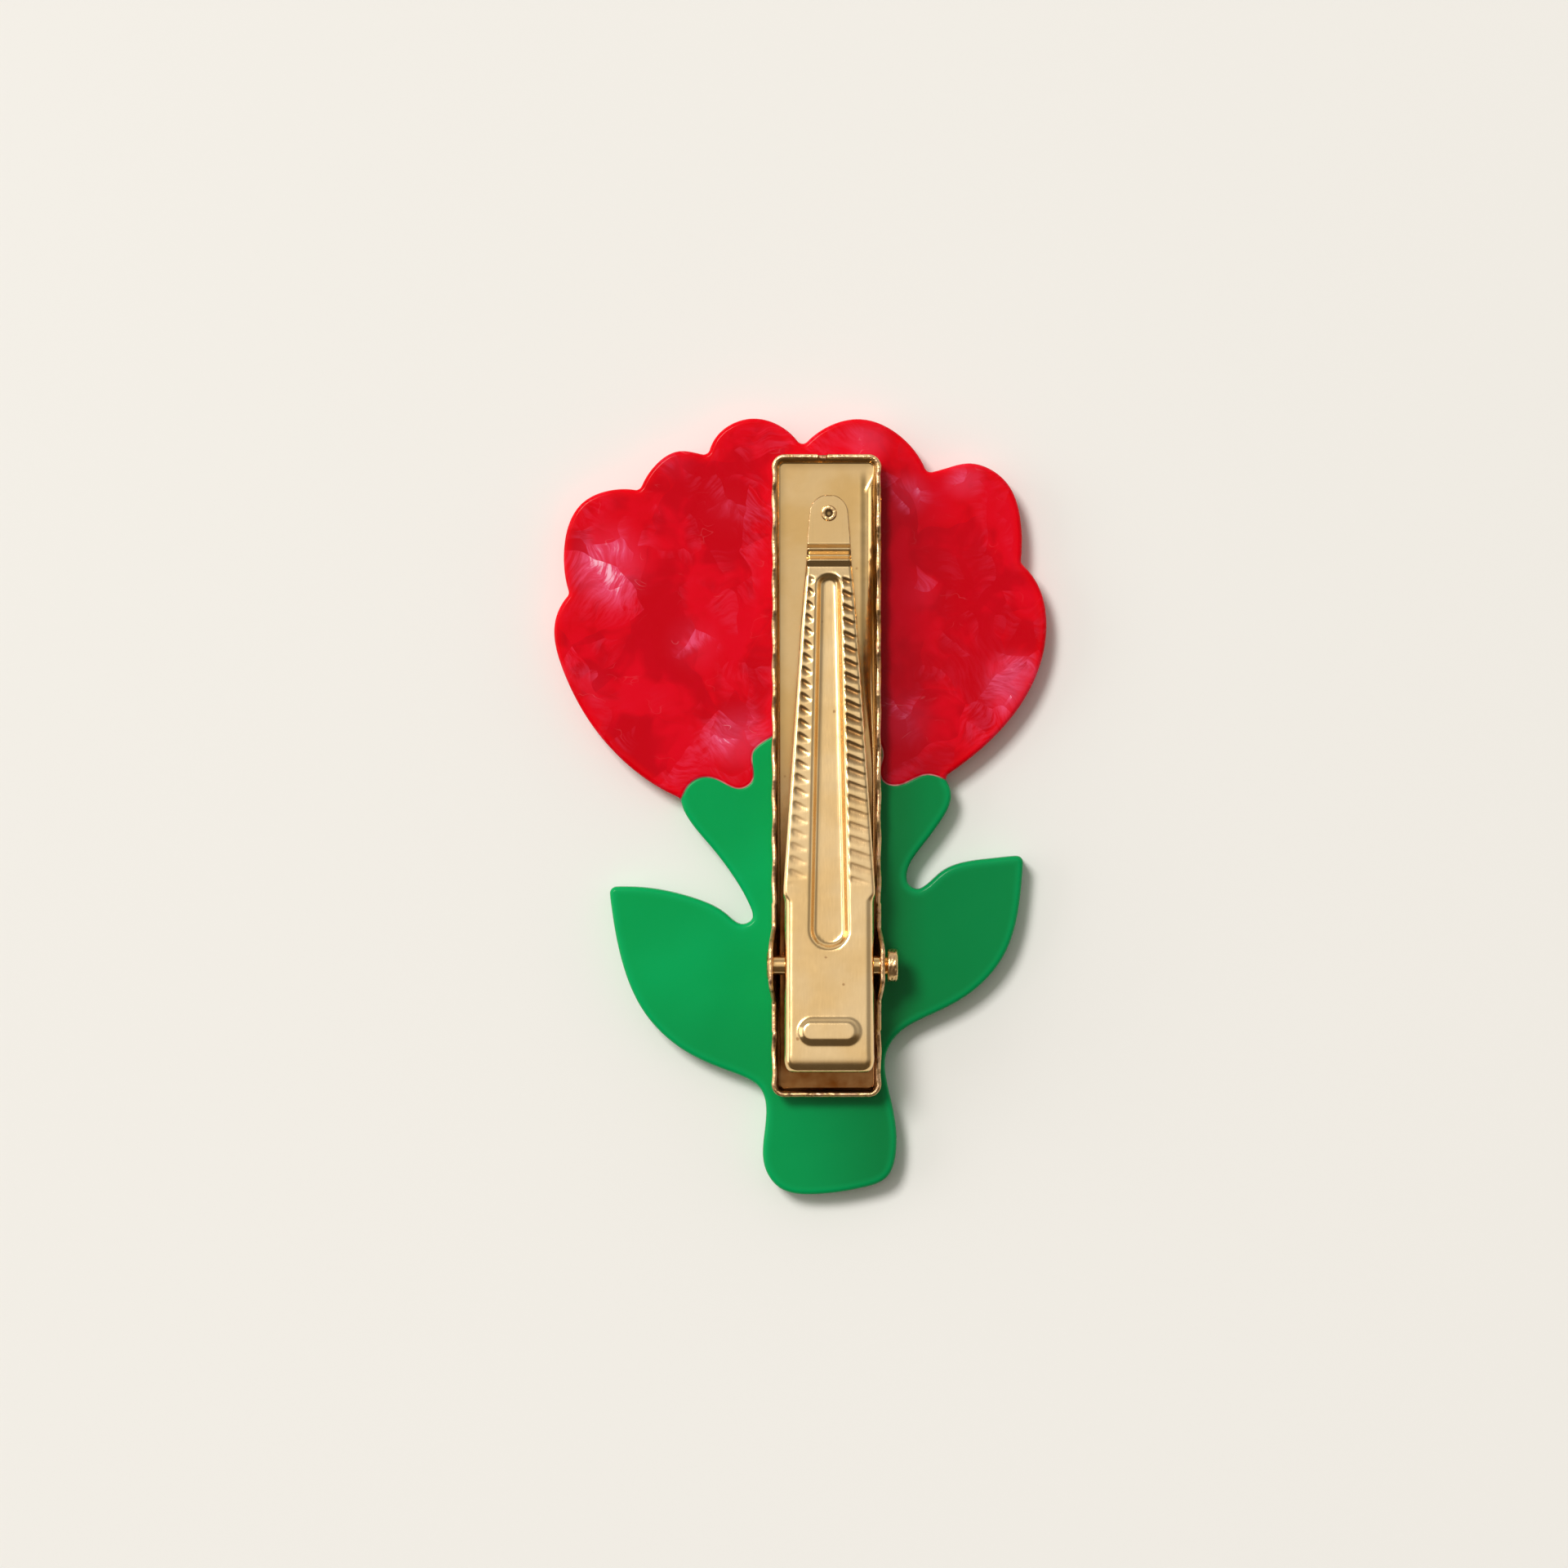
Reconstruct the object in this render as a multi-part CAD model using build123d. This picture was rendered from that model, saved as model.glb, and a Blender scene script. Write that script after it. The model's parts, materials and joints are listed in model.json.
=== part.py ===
from build123d import *
import os
from math import asin, atan2, cos, degrees, hypot, radians, sin, tan

# Flower hair clip, lying face down. Millimetres, +Z up.
# Origin: middle of the flower's outline, on the surface it lies on.
# +Y points along the stem towards the petals.

# ---- flower plates ----
flower_width = 38.45
flower_length = 60.6
drawn_width = 38.45  # the size at which the outline below is drawn
drawn_length = 60.6
plate_thickness = 2.5
edge_round = 0.45  # tumbled edge all round both plates
notch_round = 0.5  # bottom of each notch between petals
tip_round = 0.5  # tips of the leaves
seam_width = 0.1  # cement line between the plates
leaf_line_y = -3.0  # leaf tips lie below this line, notches between petals above Y 0
round_limit = 0.9  # edge rounding is at most this share of the tips' rounding

# ---- stamped sheet clip ----
sheet = 0.35  # sheet thickness of tray and lever
adhesive = 0.1  # glue film under the tray
adhesive_inset = 0.9  # glue stops this far inside the tray's sides
clip_x = 2.0  # clip's centre line, from the flower's middle
clip_y = 2.4  # tray's middle, from the flower's middle

tray_length = 50.0
tray_width = 8.55  # outside, at the rim
rim_height = 1.9  # rim above the tray's underside
wall_flare = 6.5  # degrees that the walls lean outwards
corner_round = 1.0
floor_bend = 0.55  # outside radius where floor meets wall
scallop_pitch = 3.3  # waves along both long rims
scallop_length = 2.4
scallop_depth = 0.28
ear_height = 4.2  # top of the ears above the tray's underside
ear_base = 5.9
ear_top = 3.0
ear_round = 0.9
tab_notch = 0.64  # shear mark in the rim of the jaw end
tab_notch_depth = 0.4
tab_notch_shift = 0.3

# ---- hinge pin ----
pivot_inset = 10.3  # pin's axis, from the tray's thumb end
pin_height = 2.8  # pin's axis above the tray's underside
pin_diameter = 1.5
pin_clearance = 0.05  # radial, lever on pin
head_diameter = 2.55
head_length = 0.8
head_gap = 0.35  # between the head and its ear
head_round = 0.2
peened_diameter = 2.2
peened_length = 0.2
peened_gap = 0.01  # between the peened end and its leaning ear

# ---- lever ----
tip_inset = 3.1  # lever's tip, from the tray's jaw end
thumb_inset = 2.0  # lever's thumb end, from the tray's thumb end
side_play = 0.2  # lever sits this far to +X of the tray's centre line
side_gap = 0.1  # lever's flank to the foot of the tray's wall, on its tight side
jaw_gap = 0.03  # tongue above the tray's floor when shut
lever_rise = 1.8  # lever's top face above the pin's axis
tongue_width = 2.95
rib_start = 3.85  # first rib, from the lever's tip
rib_width = 3.3  # lever's width at the ribs
rib_length = 1.8  # the two ribs together
jaw_step = 0.67  # lever's top face after the ribs, above the tongue's
rib_height = 0.2  # crest of each rib above the sheet behind it
jaw_bend = 9.8  # where the jaw's sides change slope, from the tip
jaw_bend_width = 4.2
channel_reach = 4.8  # flanges start this far on the jaw's side of the pin
channel_bend = 0.6  # outside radius of the folded edges
flange_front = 0.8  # flange depth where it starts
flange_pivot = 1.45  # flange edge below the pin's axis
flange_flat = 0.5  # half length of the flange's lowest edge, as a share of flange_pivot
flange_corner = 0.8  # flange depth where it starts to rise, as a share of flange_pivot
flange_rear = 1.6  # flange depth at the thumb end
groove_depth = 0.5
groove_draft = 45  # degrees
groove_tip_radius = 1.0
groove_root_radius = 1.55
groove_tip_gap = 0.3  # between the ribs and the groove
groove_root = 1.1  # groove's end, from the pin's axis
pad_length = 4.9  # raised oval under the thumb
pad_width = 2.2
pad_height = 0.3
pad_inset = 3.05  # oval's middle, from the thumb end
eyelet_inset = 1.45  # hole in the tongue, from the tip
eyelet_hole = 0.6
eyelet_ring = 1.25
eyelet_height = 0.1
stop_gap = 0.15  # thumb end above the tray's floor when fully open

# ---- torsion spring ----
wire = 0.45
coil_gap = 0.1  # between the pin and the inside of the coil
coil_turns = 4  # whole turns, before the part turn between the legs
coil_pitch = 0.5
leg_length = 6.0
leg_gap = 0.02  # legs clear of tray and lever at rest

# ---- modelling allowances ----
overrun = 1.0  # cutters and blanks run past the part by this much
edge_margin = 0.01  # for picking edges by where they lie

# ---- places worked out from the sizes above ----
tray_z = plate_thickness + adhesive
floor_z = tray_z + sheet
tray_tip_y = clip_y + tray_length / 2
tray_thumb_y = clip_y - tray_length / 2
pivot_y = tray_thumb_y + pivot_inset
pivot_z = tray_z + pin_height
lever_x = clip_x + side_play
lever_tip_y = tray_tip_y - tip_inset
lever_thumb_y = tray_thumb_y + thumb_inset
flare = tan(radians(wall_flare))
tray_rim_z = tray_z + rim_height
lever_wall_x = tray_width / 2 - sheet - (rim_height - sheet) * flare - side_play - side_gap
channel_width = 2 * lever_wall_x
tongue_top_z = floor_z + jaw_gap + sheet
jaw_start_y = lever_tip_y - rib_start - rib_length
jaw_start_z = tongue_top_z + jaw_step
jaw_run = hypot(jaw_start_y - pivot_y, jaw_start_z - pivot_z)
lever_angle = degrees(asin(lever_rise / jaw_run) - atan2(jaw_start_z - pivot_z, jaw_start_y - pivot_y))
coil_radius = pin_diameter / 2 + coil_gap + wire / 2
lever_frame = Pos(lever_x, pivot_y, pivot_z) * Rot(-lever_angle, 0, 0)


def in_lever(y, z):
    """Place on the YZ plane, given in the lever's own frame (origin on the pin)."""
    turn = radians(lever_angle)
    along = y - pivot_y
    up = z - pivot_z
    return along * cos(turn) - up * sin(turn), along * sin(turn) + up * cos(turn)


def curves(runs):
    """One smooth curve through each run of points, stretched to the flower's size."""
    stretch_x = flower_width / drawn_width
    stretch_y = flower_length / drawn_length
    return [Spline(*[(x * stretch_x, y * stretch_y) for x, y in run]) for run in runs]


# ---------------------------------------------------------------- flower plates
def flower_outline():
    """Whole outline, clockwise from the left end of the seam, one run from corner to corner."""
    petals = [
        [(-9.35, 0.6), (-12.6, 2.5), (-15.9, 5.8), (-18.55, 10.6), (-19.25, 13.9), (-18.05, 16.6)],
        [(-18.05, 16.6), (-18.5, 19.8), (-17, 23.75), (-14.5, 24.75), (-12.55, 24.65)],
        [(-12.55, 24.65), (-11.4, 26.6), (-9.5, 27.75), (-8.1, 27.6), (-7.2, 27.4)],
        [(-7.2, 27.4), (-5.9, 29.55), (-3.6, 30.3), (-1.4, 29.6), (0.1, 28)],
        [(0.1, 28), (2, 29.6), (4.7, 30.25), (7.7, 29), (9.85, 26.05)],
        [(9.85, 26.05), (11.3, 26.4), (13.1, 26.8), (16, 25.4), (17.2, 22.3), (17.2, 19)],
        [(17.2, 19), (18.9, 16.4), (19.2, 13.6), (18, 9.3), (15.2, 5.5), (11.15, 2.25)],
    ]
    right_leaf = [
        (11.15, 2.25), (11.75, 0.6), (10.8, -1.35), (9.5, -3.1), (8.35, -5), (8.4, -6),
        (9.1, -6.45), (9.8, -6.15), (11, -5.1), (14, -4.15), (17.4, -3.8),
    ]
    stem = [
        (17.4, -3.8), (17.1, -7.5), (15.9, -11.6), (12.8, -14.9), (9.7, -16.5), (7.7, -17.7),
        (6.7, -19.3), (6.95, -22.4), (7.4, -27.4), (6.8, -28.9), (4.8, -29.8), (1.2, -30.3),
        (-1.7, -29.75), (-2.75, -28.3), (-2.7, -24.2), (-3.1, -22.1), (-5.3, -20.8), (-9.2, -19),
        (-12.2, -16.1), (-13.9, -12.3), (-14.95, -6.3),
    ]
    left_leaf = [
        (-14.95, -6.3), (-12, -6.35), (-8.2, -7.2), (-5.7, -8.5), (-4.5, -9.2), (-3.8, -8.8),
        (-3.95, -7.8), (-5.1, -5.7), (-7, -3.15), (-8.6, -1.2), (-9.2, -0.1), (-9.35, 0.6),
    ]
    return make_face(Wire(curves([*petals, right_leaf, stem, left_leaf])))


def seam_band():
    """Narrow band along the joint between the petals and the calyx, past both sides."""
    seam = [
        (-10.2, -0.2), (-9.3, 0.7), (-8.9, 1.5), (-8, 2.2), (-6.6, 2.15), (-4.6, 1.43),
        (-3.8, 2), (-3.75, 3.1), (-3.75, 4.2), (-2.6, 5.25), (2, 7), (6.1, 5.1),
        (6.45, 4), (6.2, 2.7), (6.55, 1.9), (7.4, 1.65), (8.7, 2.1), (9.9, 2.5),
        (11.2, 2.15), (12.3, 1.7),
    ]
    band = trace(curves([seam]), seam_width)
    return Pos(0, 0, -overrun) * extrude(band, plate_thickness + 2 * overrun)


def flower_plates():
    """Both plates and the cement between them, cut from one polished blank."""
    blank = extrude(flower_outline(), plate_thickness)
    corners = blank.edges().filter_by(Axis.Z)
    tips = corners.filter_by(lambda edge: edge.center().Y < leaf_line_y)
    blank = fillet(tips, tip_round)
    notches = blank.edges().filter_by(Axis.Z).filter_by(lambda edge: edge.center().Y > 0)
    blank = fillet(notches, notch_round)
    rims = blank.faces().sort_by(Axis.Z)
    blank = fillet([*rims[0].edges(), *rims[-1].edges()], min(edge_round, round_limit * tip_round))
    band = seam_band()
    plates = (blank - band).solids().sort_by(Axis.Y)
    return plates[-1], plates[0], (blank & band).solids()[0]


# ---------------------------------------------------------------- tray
def tapered_block(inset, low, high):
    """Rounded block that follows the tray's leaning walls, its sides inset from them."""
    half_lean = (rim_height - low) * flare
    width = tray_width - 2 * (half_lean + inset)
    length = tray_length - 2 * (half_lean + inset)
    base = RectangleRounded(width, length, corner_round - inset)
    return Pos(clip_x, clip_y, tray_z + low) * extrude(base, high - low, taper=-wall_flare)


def tray_shell():
    """Open box of bent sheet with leaning walls, as high as the ears."""
    top = ear_height + overrun
    outer = tapered_block(0, 0, top)
    inner = tapered_block(sheet, sheet, top + overrun)
    outer = fillet(outer.faces().sort_by(Axis.Z)[0].edges(), floor_bend)
    inner = fillet(inner.faces().sort_by(Axis.Z)[0].edges(), floor_bend - sheet)
    return outer - inner


def rim_profile():
    """Side view of what is kept of the walls: low rim with an ear on each long side."""
    reach = tray_length / 2 + 2 * overrun
    low = Pos(clip_y, tray_rim_z - reach) * Rectangle(2 * reach, 2 * reach)
    ear = Polyline(
        (pivot_y - ear_base / 2, tray_rim_z - overrun / 2),
        (pivot_y - ear_base / 2, tray_rim_z),
        (pivot_y - ear_top / 2, tray_z + ear_height),
        (pivot_y + ear_top / 2, tray_z + ear_height),
        (pivot_y + ear_base / 2, tray_rim_z),
        (pivot_y + ear_base / 2, tray_rim_z - overrun / 2),
        close=True,
    )
    ear = make_face(ear)
    ear = fillet(ear.vertices().group_by(Axis.Y)[-1], ear_round)
    return low + ear


def along_x(profile, half_width):
    """Extrude a side view, drawn as (Y, Z), to both sides of the YZ plane."""
    return extrude(Plane.YZ * profile, half_width, both=True)


def scallop_places():
    """Middles of the dips in the long rims, leaving out the ears."""
    count = int((tray_length - 2 * corner_round) / scallop_pitch)
    first = clip_y - (count - 1) * scallop_pitch / 2
    places = [first + i * scallop_pitch for i in range(count)]
    clear = (ear_base + scallop_length) / 2
    return [y for y in places if abs(y - pivot_y) > clear]


def base_tray():
    radius = (scallop_length**2 / 4 + scallop_depth**2) / (2 * scallop_depth)
    tray = tray_shell() & Pos(clip_x, 0, 0) * along_x(rim_profile(), tray_width)
    dips = [Pos(y, tray_rim_z + radius - scallop_depth) * Circle(radius) for y in scallop_places()]
    below_dips = Pos(clip_y, tray_rim_z - radius) * Rectangle(tray_length, 4 * radius)
    tray -= Pos(clip_x, 0, 0) * along_x(Sketch() + dips & below_dips, tray_width)
    mark = Box(tab_notch, 4 * sheet, 2 * tab_notch_depth)
    tray -= Pos(clip_x - tab_notch_shift, tray_tip_y - sheet, tray_rim_z) * mark
    return tray - pin_bore(pin_diameter / 2, tray_width)


# ---------------------------------------------------------------- pin and spring
def pin_bore(radius, half_length):
    return Pos(clip_x, pivot_y, pivot_z) * Rot(0, 90, 0) * Cylinder(radius, 2 * half_length)


def ear_outside():
    """Distance from the tray's centre line to an ear's outer face, at the pin."""
    return tray_width / 2 + (pin_height - rim_height) * flare


def hinge_pin():
    """Shank through both ears, with a head at +X and a peened end at -X."""
    half = pin_diameter / 2
    lean = half * flare + peened_gap
    left = -ear_outside() - lean
    right = ear_outside() + head_gap
    turned = Plane.XZ * make_face(
        Polyline(
            (left - peened_length, 0),
            (left - peened_length, peened_diameter / 2 - peened_length / 2),
            (left - peened_length / 2, peened_diameter / 2),
            (left, peened_diameter / 2),
            (left, half),
            (right, half),
            (right, head_diameter / 2),
            (right + head_length, head_diameter / 2),
            (right + head_length, 0),
            close=True,
        )
    )
    pin = revolve(turned, Axis.X, 360)
    rims = pin.edges().filter_by(GeomType.CIRCLE).group_by(Axis.X)[-1]
    pin = fillet(rims, head_round)
    return Pos(clip_x, pivot_y, pivot_z) * pin


def torsion_spring():
    """Close-wound coil round the pin, both legs running to the thumb end."""
    reach = hypot(leg_length, coil_radius)
    lean = atan2(coil_radius, leg_length)
    floor_room = pivot_z - floor_z - leg_gap - wire / 2
    lever_room = lever_rise - sheet - leg_gap - wire / 2
    low_leg = degrees(asin(floor_room / reach) - lean)
    high_leg = degrees(asin(lever_room / reach) - lean) + lever_angle
    wound = 360 * coil_turns + 180 - low_leg - high_leg
    length = coil_pitch * wound / 360
    coil = Rot(low_leg, 0, 0) * Rot(0, 90, 0) * Helix(coil_pitch, length, coil_radius)
    first_leg = Line(coil @ 0 - (coil % 0) * leg_length, coil @ 0)
    last_leg = Line(coil @ 1, coil @ 1 + (coil % 1) * leg_length)
    path = Wire([first_leg, coil, last_leg])
    section = Plane(origin=path @ 0, z_dir=path % 0) * Circle(wire / 2)
    return Pos(lever_x - length / 2, pivot_y, pivot_z) * sweep(section, path=path)


# ---------------------------------------------------------------- lever, in its own frame
def jaw_sheet():
    """Flat jaw with its two ribs and the tongue: the side view kept inside the plan."""
    rib = rib_length / 2
    first_rib_y = lever_tip_y - rib_start
    top = [(lever_tip_y + overrun, tongue_top_z), (first_rib_y, tongue_top_z)]
    for i in (1, 2):
        after = tongue_top_z + i * jaw_step / 2
        top.append((first_rib_y - (i - 0.5) * rib, after + rib_height))
        top.append((first_rib_y - i * rib, after))
    top = [in_lever(y, z) for y, z in top]
    top.append((0, lever_rise))
    bottom = [(y, z - sheet) for y, z in reversed(top)]
    side = along_x(make_face(Polyline(*top, *bottom, close=True)), channel_width)

    tip = in_lever(lever_tip_y, tongue_top_z)[0]
    ribs = in_lever(first_rib_y, tongue_top_z)[0]
    bend = in_lever(lever_tip_y - jaw_bend, jaw_start_z)[0]
    right = [
        (lever_wall_x - channel_bend, channel_reach - sheet),
        (lever_wall_x - channel_bend, channel_reach),
        (lever_wall_x, channel_reach),
        (jaw_bend_width / 2, bend),
        (rib_width / 2, ribs),
        (tongue_width / 2, tip - tongue_width / 2),
    ]
    left = [(-x, y) for x, y in right]
    nose = ThreePointArc(right[-1], (0, tip), left[-1])
    outline = Curve() + [Polyline(*right), nose, Polyline(*left), Line(left[0], right[0])]
    plan = make_face(outline.edges())
    height = 3 * lever_rise
    return side & Pos(0, 0, -height) * extrude(plan, 2 * height)


def channel_block(inset, rear, front):
    """Block that the folded channel is made of, its folds rounded, inset by a sheet or not."""
    depth = lever_rise + flange_pivot + overrun
    block = Box(channel_width - 2 * inset, front - rear, depth)
    block = Pos(0, (rear + front) / 2, lever_rise - inset - depth / 2) * block
    top = block.faces().sort_by(Axis.Z)[-1]
    folds = [edge for edge in top.edges() if edge.center().Y < front - edge_margin]
    folds += block.edges().filter_by(Axis.Z).group_by(Axis.Y)[0]
    return fillet(folds, channel_bend - inset)


def channel():
    """Thumb end: top and three folded sides, with the flanges deepest round the pin."""
    rear = (lever_thumb_y - pivot_y) / cos(radians(lever_angle))
    outer = channel_block(0, rear, channel_reach)
    inner = channel_block(sheet, rear + sheet, channel_reach + overrun)
    flange = make_face(
        Polyline(
            (rear, lever_rise),
            (rear, lever_rise - flange_rear),
            (-flange_pivot, -flange_corner * flange_pivot),
            (-flange_flat * flange_pivot, -flange_pivot),
            (flange_flat * flange_pivot, -flange_pivot),
            (channel_reach, lever_rise - flange_front),
            (channel_reach, lever_rise),
            close=True,
        )
    )
    return (outer - inner) & along_x(flange, channel_width)


def groove(extra, start, depth):
    """Tapered trough along the jaw, its plan grown all round by extra."""
    jaw_start = in_lever(jaw_start_y, jaw_start_z)[0]
    tip_y = jaw_start - groove_tip_gap - groove_tip_radius
    root_y = groove_root + groove_root_radius
    ends = [
        Pos(0, tip_y) * CenterArc((0, 0), groove_tip_radius + extra, 0, 360),
        Pos(0, root_y) * CenterArc((0, 0), groove_root_radius + extra, 0, 360),
    ]
    return Pos(0, 0, start) * extrude(make_hull(ends), -depth, taper=groove_draft)


def thumb_pad(extra, start):
    """Raised oval, its plan grown all round by extra."""
    plan = SlotOverall(pad_length + 2 * extra, pad_width + 2 * extra)
    place = Pos(0, lever_thumb_y - pivot_y + pad_inset, start)
    return place * extrude(plan, pad_height, taper=groove_draft)


def lever():
    thinner = sheet * tan(radians(groove_draft / 2))
    half = sheet / 2
    body = jaw_sheet() + channel()
    body += groove(thinner + half, lever_rise - half, groove_depth + half)
    body -= groove(0, lever_rise, groove_depth)
    body += thumb_pad(0, lever_rise)
    body -= thumb_pad(-thinner, lever_rise - sheet)
    body = lever_frame * body
    eyelet = Pos(lever_x, lever_tip_y - eyelet_inset, tongue_top_z)
    body += eyelet * Cylinder(eyelet_ring / 2, 2 * eyelet_height)
    body -= eyelet * Cylinder(eyelet_hole / 2, 4 * sheet)
    return body - pin_bore(pin_diameter / 2 + pin_clearance, tray_width)


def opening_angle():
    """Turn that brings the thumb end down to its stop on the tray's floor."""
    rear = (lever_thumb_y - pivot_y) / cos(radians(lever_angle))
    low_edge = lever_rise - flange_rear
    radius = hypot(rear, low_edge)
    shut = degrees(atan2(low_edge, -rear)) + lever_angle
    drop = pivot_z - floor_z - stop_gap
    return shut + degrees(asin(drop / radius))


# ---------------------------------------------------------------- glue, and all parts written
def clip_adhesive():
    """Film of glue between the plates and the tray's flat underside."""
    lean = rim_height * flare + floor_bend
    film = RectangleRounded(
        tray_width - 2 * (lean + adhesive_inset),
        tray_length - 2 * (lean + adhesive_inset),
        corner_round,
    )
    return Pos(clip_x, clip_y, plate_thickness) * extrude(film, adhesive)


petals, stem_and_leaves, cement = flower_plates()
parts = {
    "flower_petals": petals,
    "stem_and_leaves": stem_and_leaves,
    "seam_cement": cement,
    "clip_adhesive": clip_adhesive(),
    "base_tray": base_tray(),
    "hinge_pin": hinge_pin(),
    "torsion_spring": torsion_spring(),
    "lever": lever(),
}
os.makedirs("parts", exist_ok=True)
for name, solid in parts.items():
    export_step(solid, f"parts/{name}.step")
print(f"pin axis at Y {pivot_y:.3f} Z {pivot_z:.3f}, lever opens {opening_angle():.2f} degrees")
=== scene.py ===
import json
import math

import bmesh
import bpy
import numpy as np
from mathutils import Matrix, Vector, noise
from mathutils.geometry import delaunay_2d_cdt


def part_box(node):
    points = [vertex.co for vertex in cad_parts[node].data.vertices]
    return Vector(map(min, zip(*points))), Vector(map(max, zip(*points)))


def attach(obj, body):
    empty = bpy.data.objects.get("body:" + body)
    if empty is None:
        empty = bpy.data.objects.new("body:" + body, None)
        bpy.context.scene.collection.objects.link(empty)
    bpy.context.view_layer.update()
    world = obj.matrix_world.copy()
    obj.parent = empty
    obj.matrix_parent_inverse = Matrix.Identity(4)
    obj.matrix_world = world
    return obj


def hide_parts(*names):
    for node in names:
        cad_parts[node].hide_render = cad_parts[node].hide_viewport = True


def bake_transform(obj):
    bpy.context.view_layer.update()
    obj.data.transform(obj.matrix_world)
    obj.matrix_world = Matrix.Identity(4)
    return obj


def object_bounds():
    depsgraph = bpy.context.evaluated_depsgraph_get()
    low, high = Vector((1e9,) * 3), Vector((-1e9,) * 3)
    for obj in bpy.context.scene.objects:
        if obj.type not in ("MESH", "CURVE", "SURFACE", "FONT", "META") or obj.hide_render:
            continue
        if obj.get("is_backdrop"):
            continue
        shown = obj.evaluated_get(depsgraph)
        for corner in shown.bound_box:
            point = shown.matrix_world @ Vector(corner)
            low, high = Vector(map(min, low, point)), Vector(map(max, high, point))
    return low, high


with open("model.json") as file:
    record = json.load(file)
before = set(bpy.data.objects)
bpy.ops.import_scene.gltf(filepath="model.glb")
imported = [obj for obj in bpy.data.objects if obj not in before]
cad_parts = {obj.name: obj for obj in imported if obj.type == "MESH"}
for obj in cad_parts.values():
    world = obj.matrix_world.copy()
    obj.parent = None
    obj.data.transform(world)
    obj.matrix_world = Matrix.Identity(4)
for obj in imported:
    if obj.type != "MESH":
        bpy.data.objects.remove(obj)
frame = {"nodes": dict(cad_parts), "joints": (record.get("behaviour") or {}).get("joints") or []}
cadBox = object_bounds()
mm = 0.001  # shapes below are worked out in millimetres
hinge = frame["joints"][0]
pivot = np.array(hinge["pos_m"]) / mm
print("frame loaded:", ", ".join(sorted(frame["nodes"])))


# small helpers for shapes
def boxOf(node):
    low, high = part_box(node)
    return np.array(low) / mm, np.array(high) / mm


def ease(start, end, value):
    t = np.clip((np.asarray(value, float) - start) / (end - start), 0, 1)
    return t * t * (3 - 2 * t)


def ramp(value, width, soft):
    # straight slope from 0 to 1 with both its ends rounded off
    value = np.asarray(value, float)
    return sum(np.clip((value + step) / width, 0, 1) for step in np.linspace(-soft, soft, 9)) / 9


def wobble(x, y, size, seed):
    return noise.noise(Vector((x / size, y / size, seed)))


def following(loop):
    return np.roll(loop, -1, 0)


def distanceTo(points, starts, ends=None):
    # shortest way from each point to a set of straight runs, or to a closed loop of them
    runs = (following(starts) if ends is None else ends) - starts
    squares = np.maximum((runs ** 2).sum(1), 1e-12)
    found = []
    for part in np.array_split(points, max(1, len(points) // 400)):
        offset = part[:, None] - starts[None]
        share = np.clip((offset * runs).sum(2) / squares, 0, 1)
        found.append(np.sqrt(((offset - share[..., None] * runs) ** 2).sum(2)).min(1))
    return np.concatenate(found)


def insideOf(points, loop):
    x, y = points[:, 0][:, None], points[:, 1][:, None]
    ax, ay = loop[:, 0], loop[:, 1]
    bx, by = np.roll(ax, -1), np.roll(ay, -1)
    crossing = (ay > y) != (by > y)
    rise = np.where(by == ay, 1e-12, by - ay)
    return (crossing & (x < (bx - ax) * (y - ay) / rise + ax)).sum(1) % 2 == 1


def fillLoop(loop, inner):
    # triangles over a closed outline, through the points inside it
    count = len(loop)
    flat = [Vector(p) for p in np.concatenate([loop, inner]).tolist()]
    edges = [(i, (i + 1) % count) for i in range(count)]
    corners, _, faces, source, _, _ = delaunay_2d_cdt(flat, edges, [], 1, 1e-6)
    made = []
    for face in faces:
        a, b, c = (corners[k] for k in face)
        turn = (b - a).cross(c - a)
        index = [source[k][0] for k in face]
        made.append(index if turn > 0 else index[::-1])
    return made


def skinRows(rows, closed=True, turned=False):
    # four-cornered faces between neighbouring rows of point numbers
    faces = []
    for lower, upper in zip(rows, rows[1:]):
        for k in range(len(lower) if closed else len(lower) - 1):
            after = (k + 1) % len(lower)
            a, b, c, d = lower[k], lower[after], upper[after], upper[k]
            faces.append([a, d, c, b] if turned else [a, b, c, d])
    return faces


def numbered(rows, columns):
    return np.arange(rows * columns).reshape(rows, columns).tolist()


def roundedWay(middle, half, spacing, turns):
    # once round a rectangle with round corners: corner's centre, outward direction, side (4 on a corner)
    corners = [middle + half * np.array(sign) for sign in ((1, -1), (1, 1), (-1, 1), (-1, -1))]
    way = []
    for side in range(4):
        start, end = corners[side], corners[(side + 1) % 4]
        steps = int(np.linalg.norm(end - start) / spacing)
        spots = [(start + (end - start) * k / steps, 0.0, side) for k in range(steps)]
        spots += [(end, math.pi / 2 * k / turns, 4) for k in range(turns)]
        for spot, turned, where in spots:
            angle = math.pi / 2 * side + turned
            way.append((spot, np.array([math.cos(angle), math.sin(angle)]), where))
    return way


def addObject(name, data):
    made = bpy.data.objects.new(name, data)
    bpy.context.scene.collection.objects.link(made)
    return made


def makePiece(name, points, faces, finish, body, node, layers=None, sharp=55):
    mesh = bpy.data.meshes.new(name)
    mesh.from_pydata((np.asarray(points) * mm).tolist(), [], [list(face) for face in faces])
    for label, values in (layers or {}).items():
        layer = mesh.attributes.new(label, "FLOAT", "POINT")
        layer.data.foreach_set("value", np.asarray(values, np.float32))
    mesh.shade_smooth()
    mesh.set_sharp_from_angle(angle=math.radians(sharp))
    mesh.materials.append(finish)
    piece = addObject(name, mesh)
    if body:
        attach(piece, body)
    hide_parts(node)
    print("made", name, len(mesh.polygons), "faces")
    return piece


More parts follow.
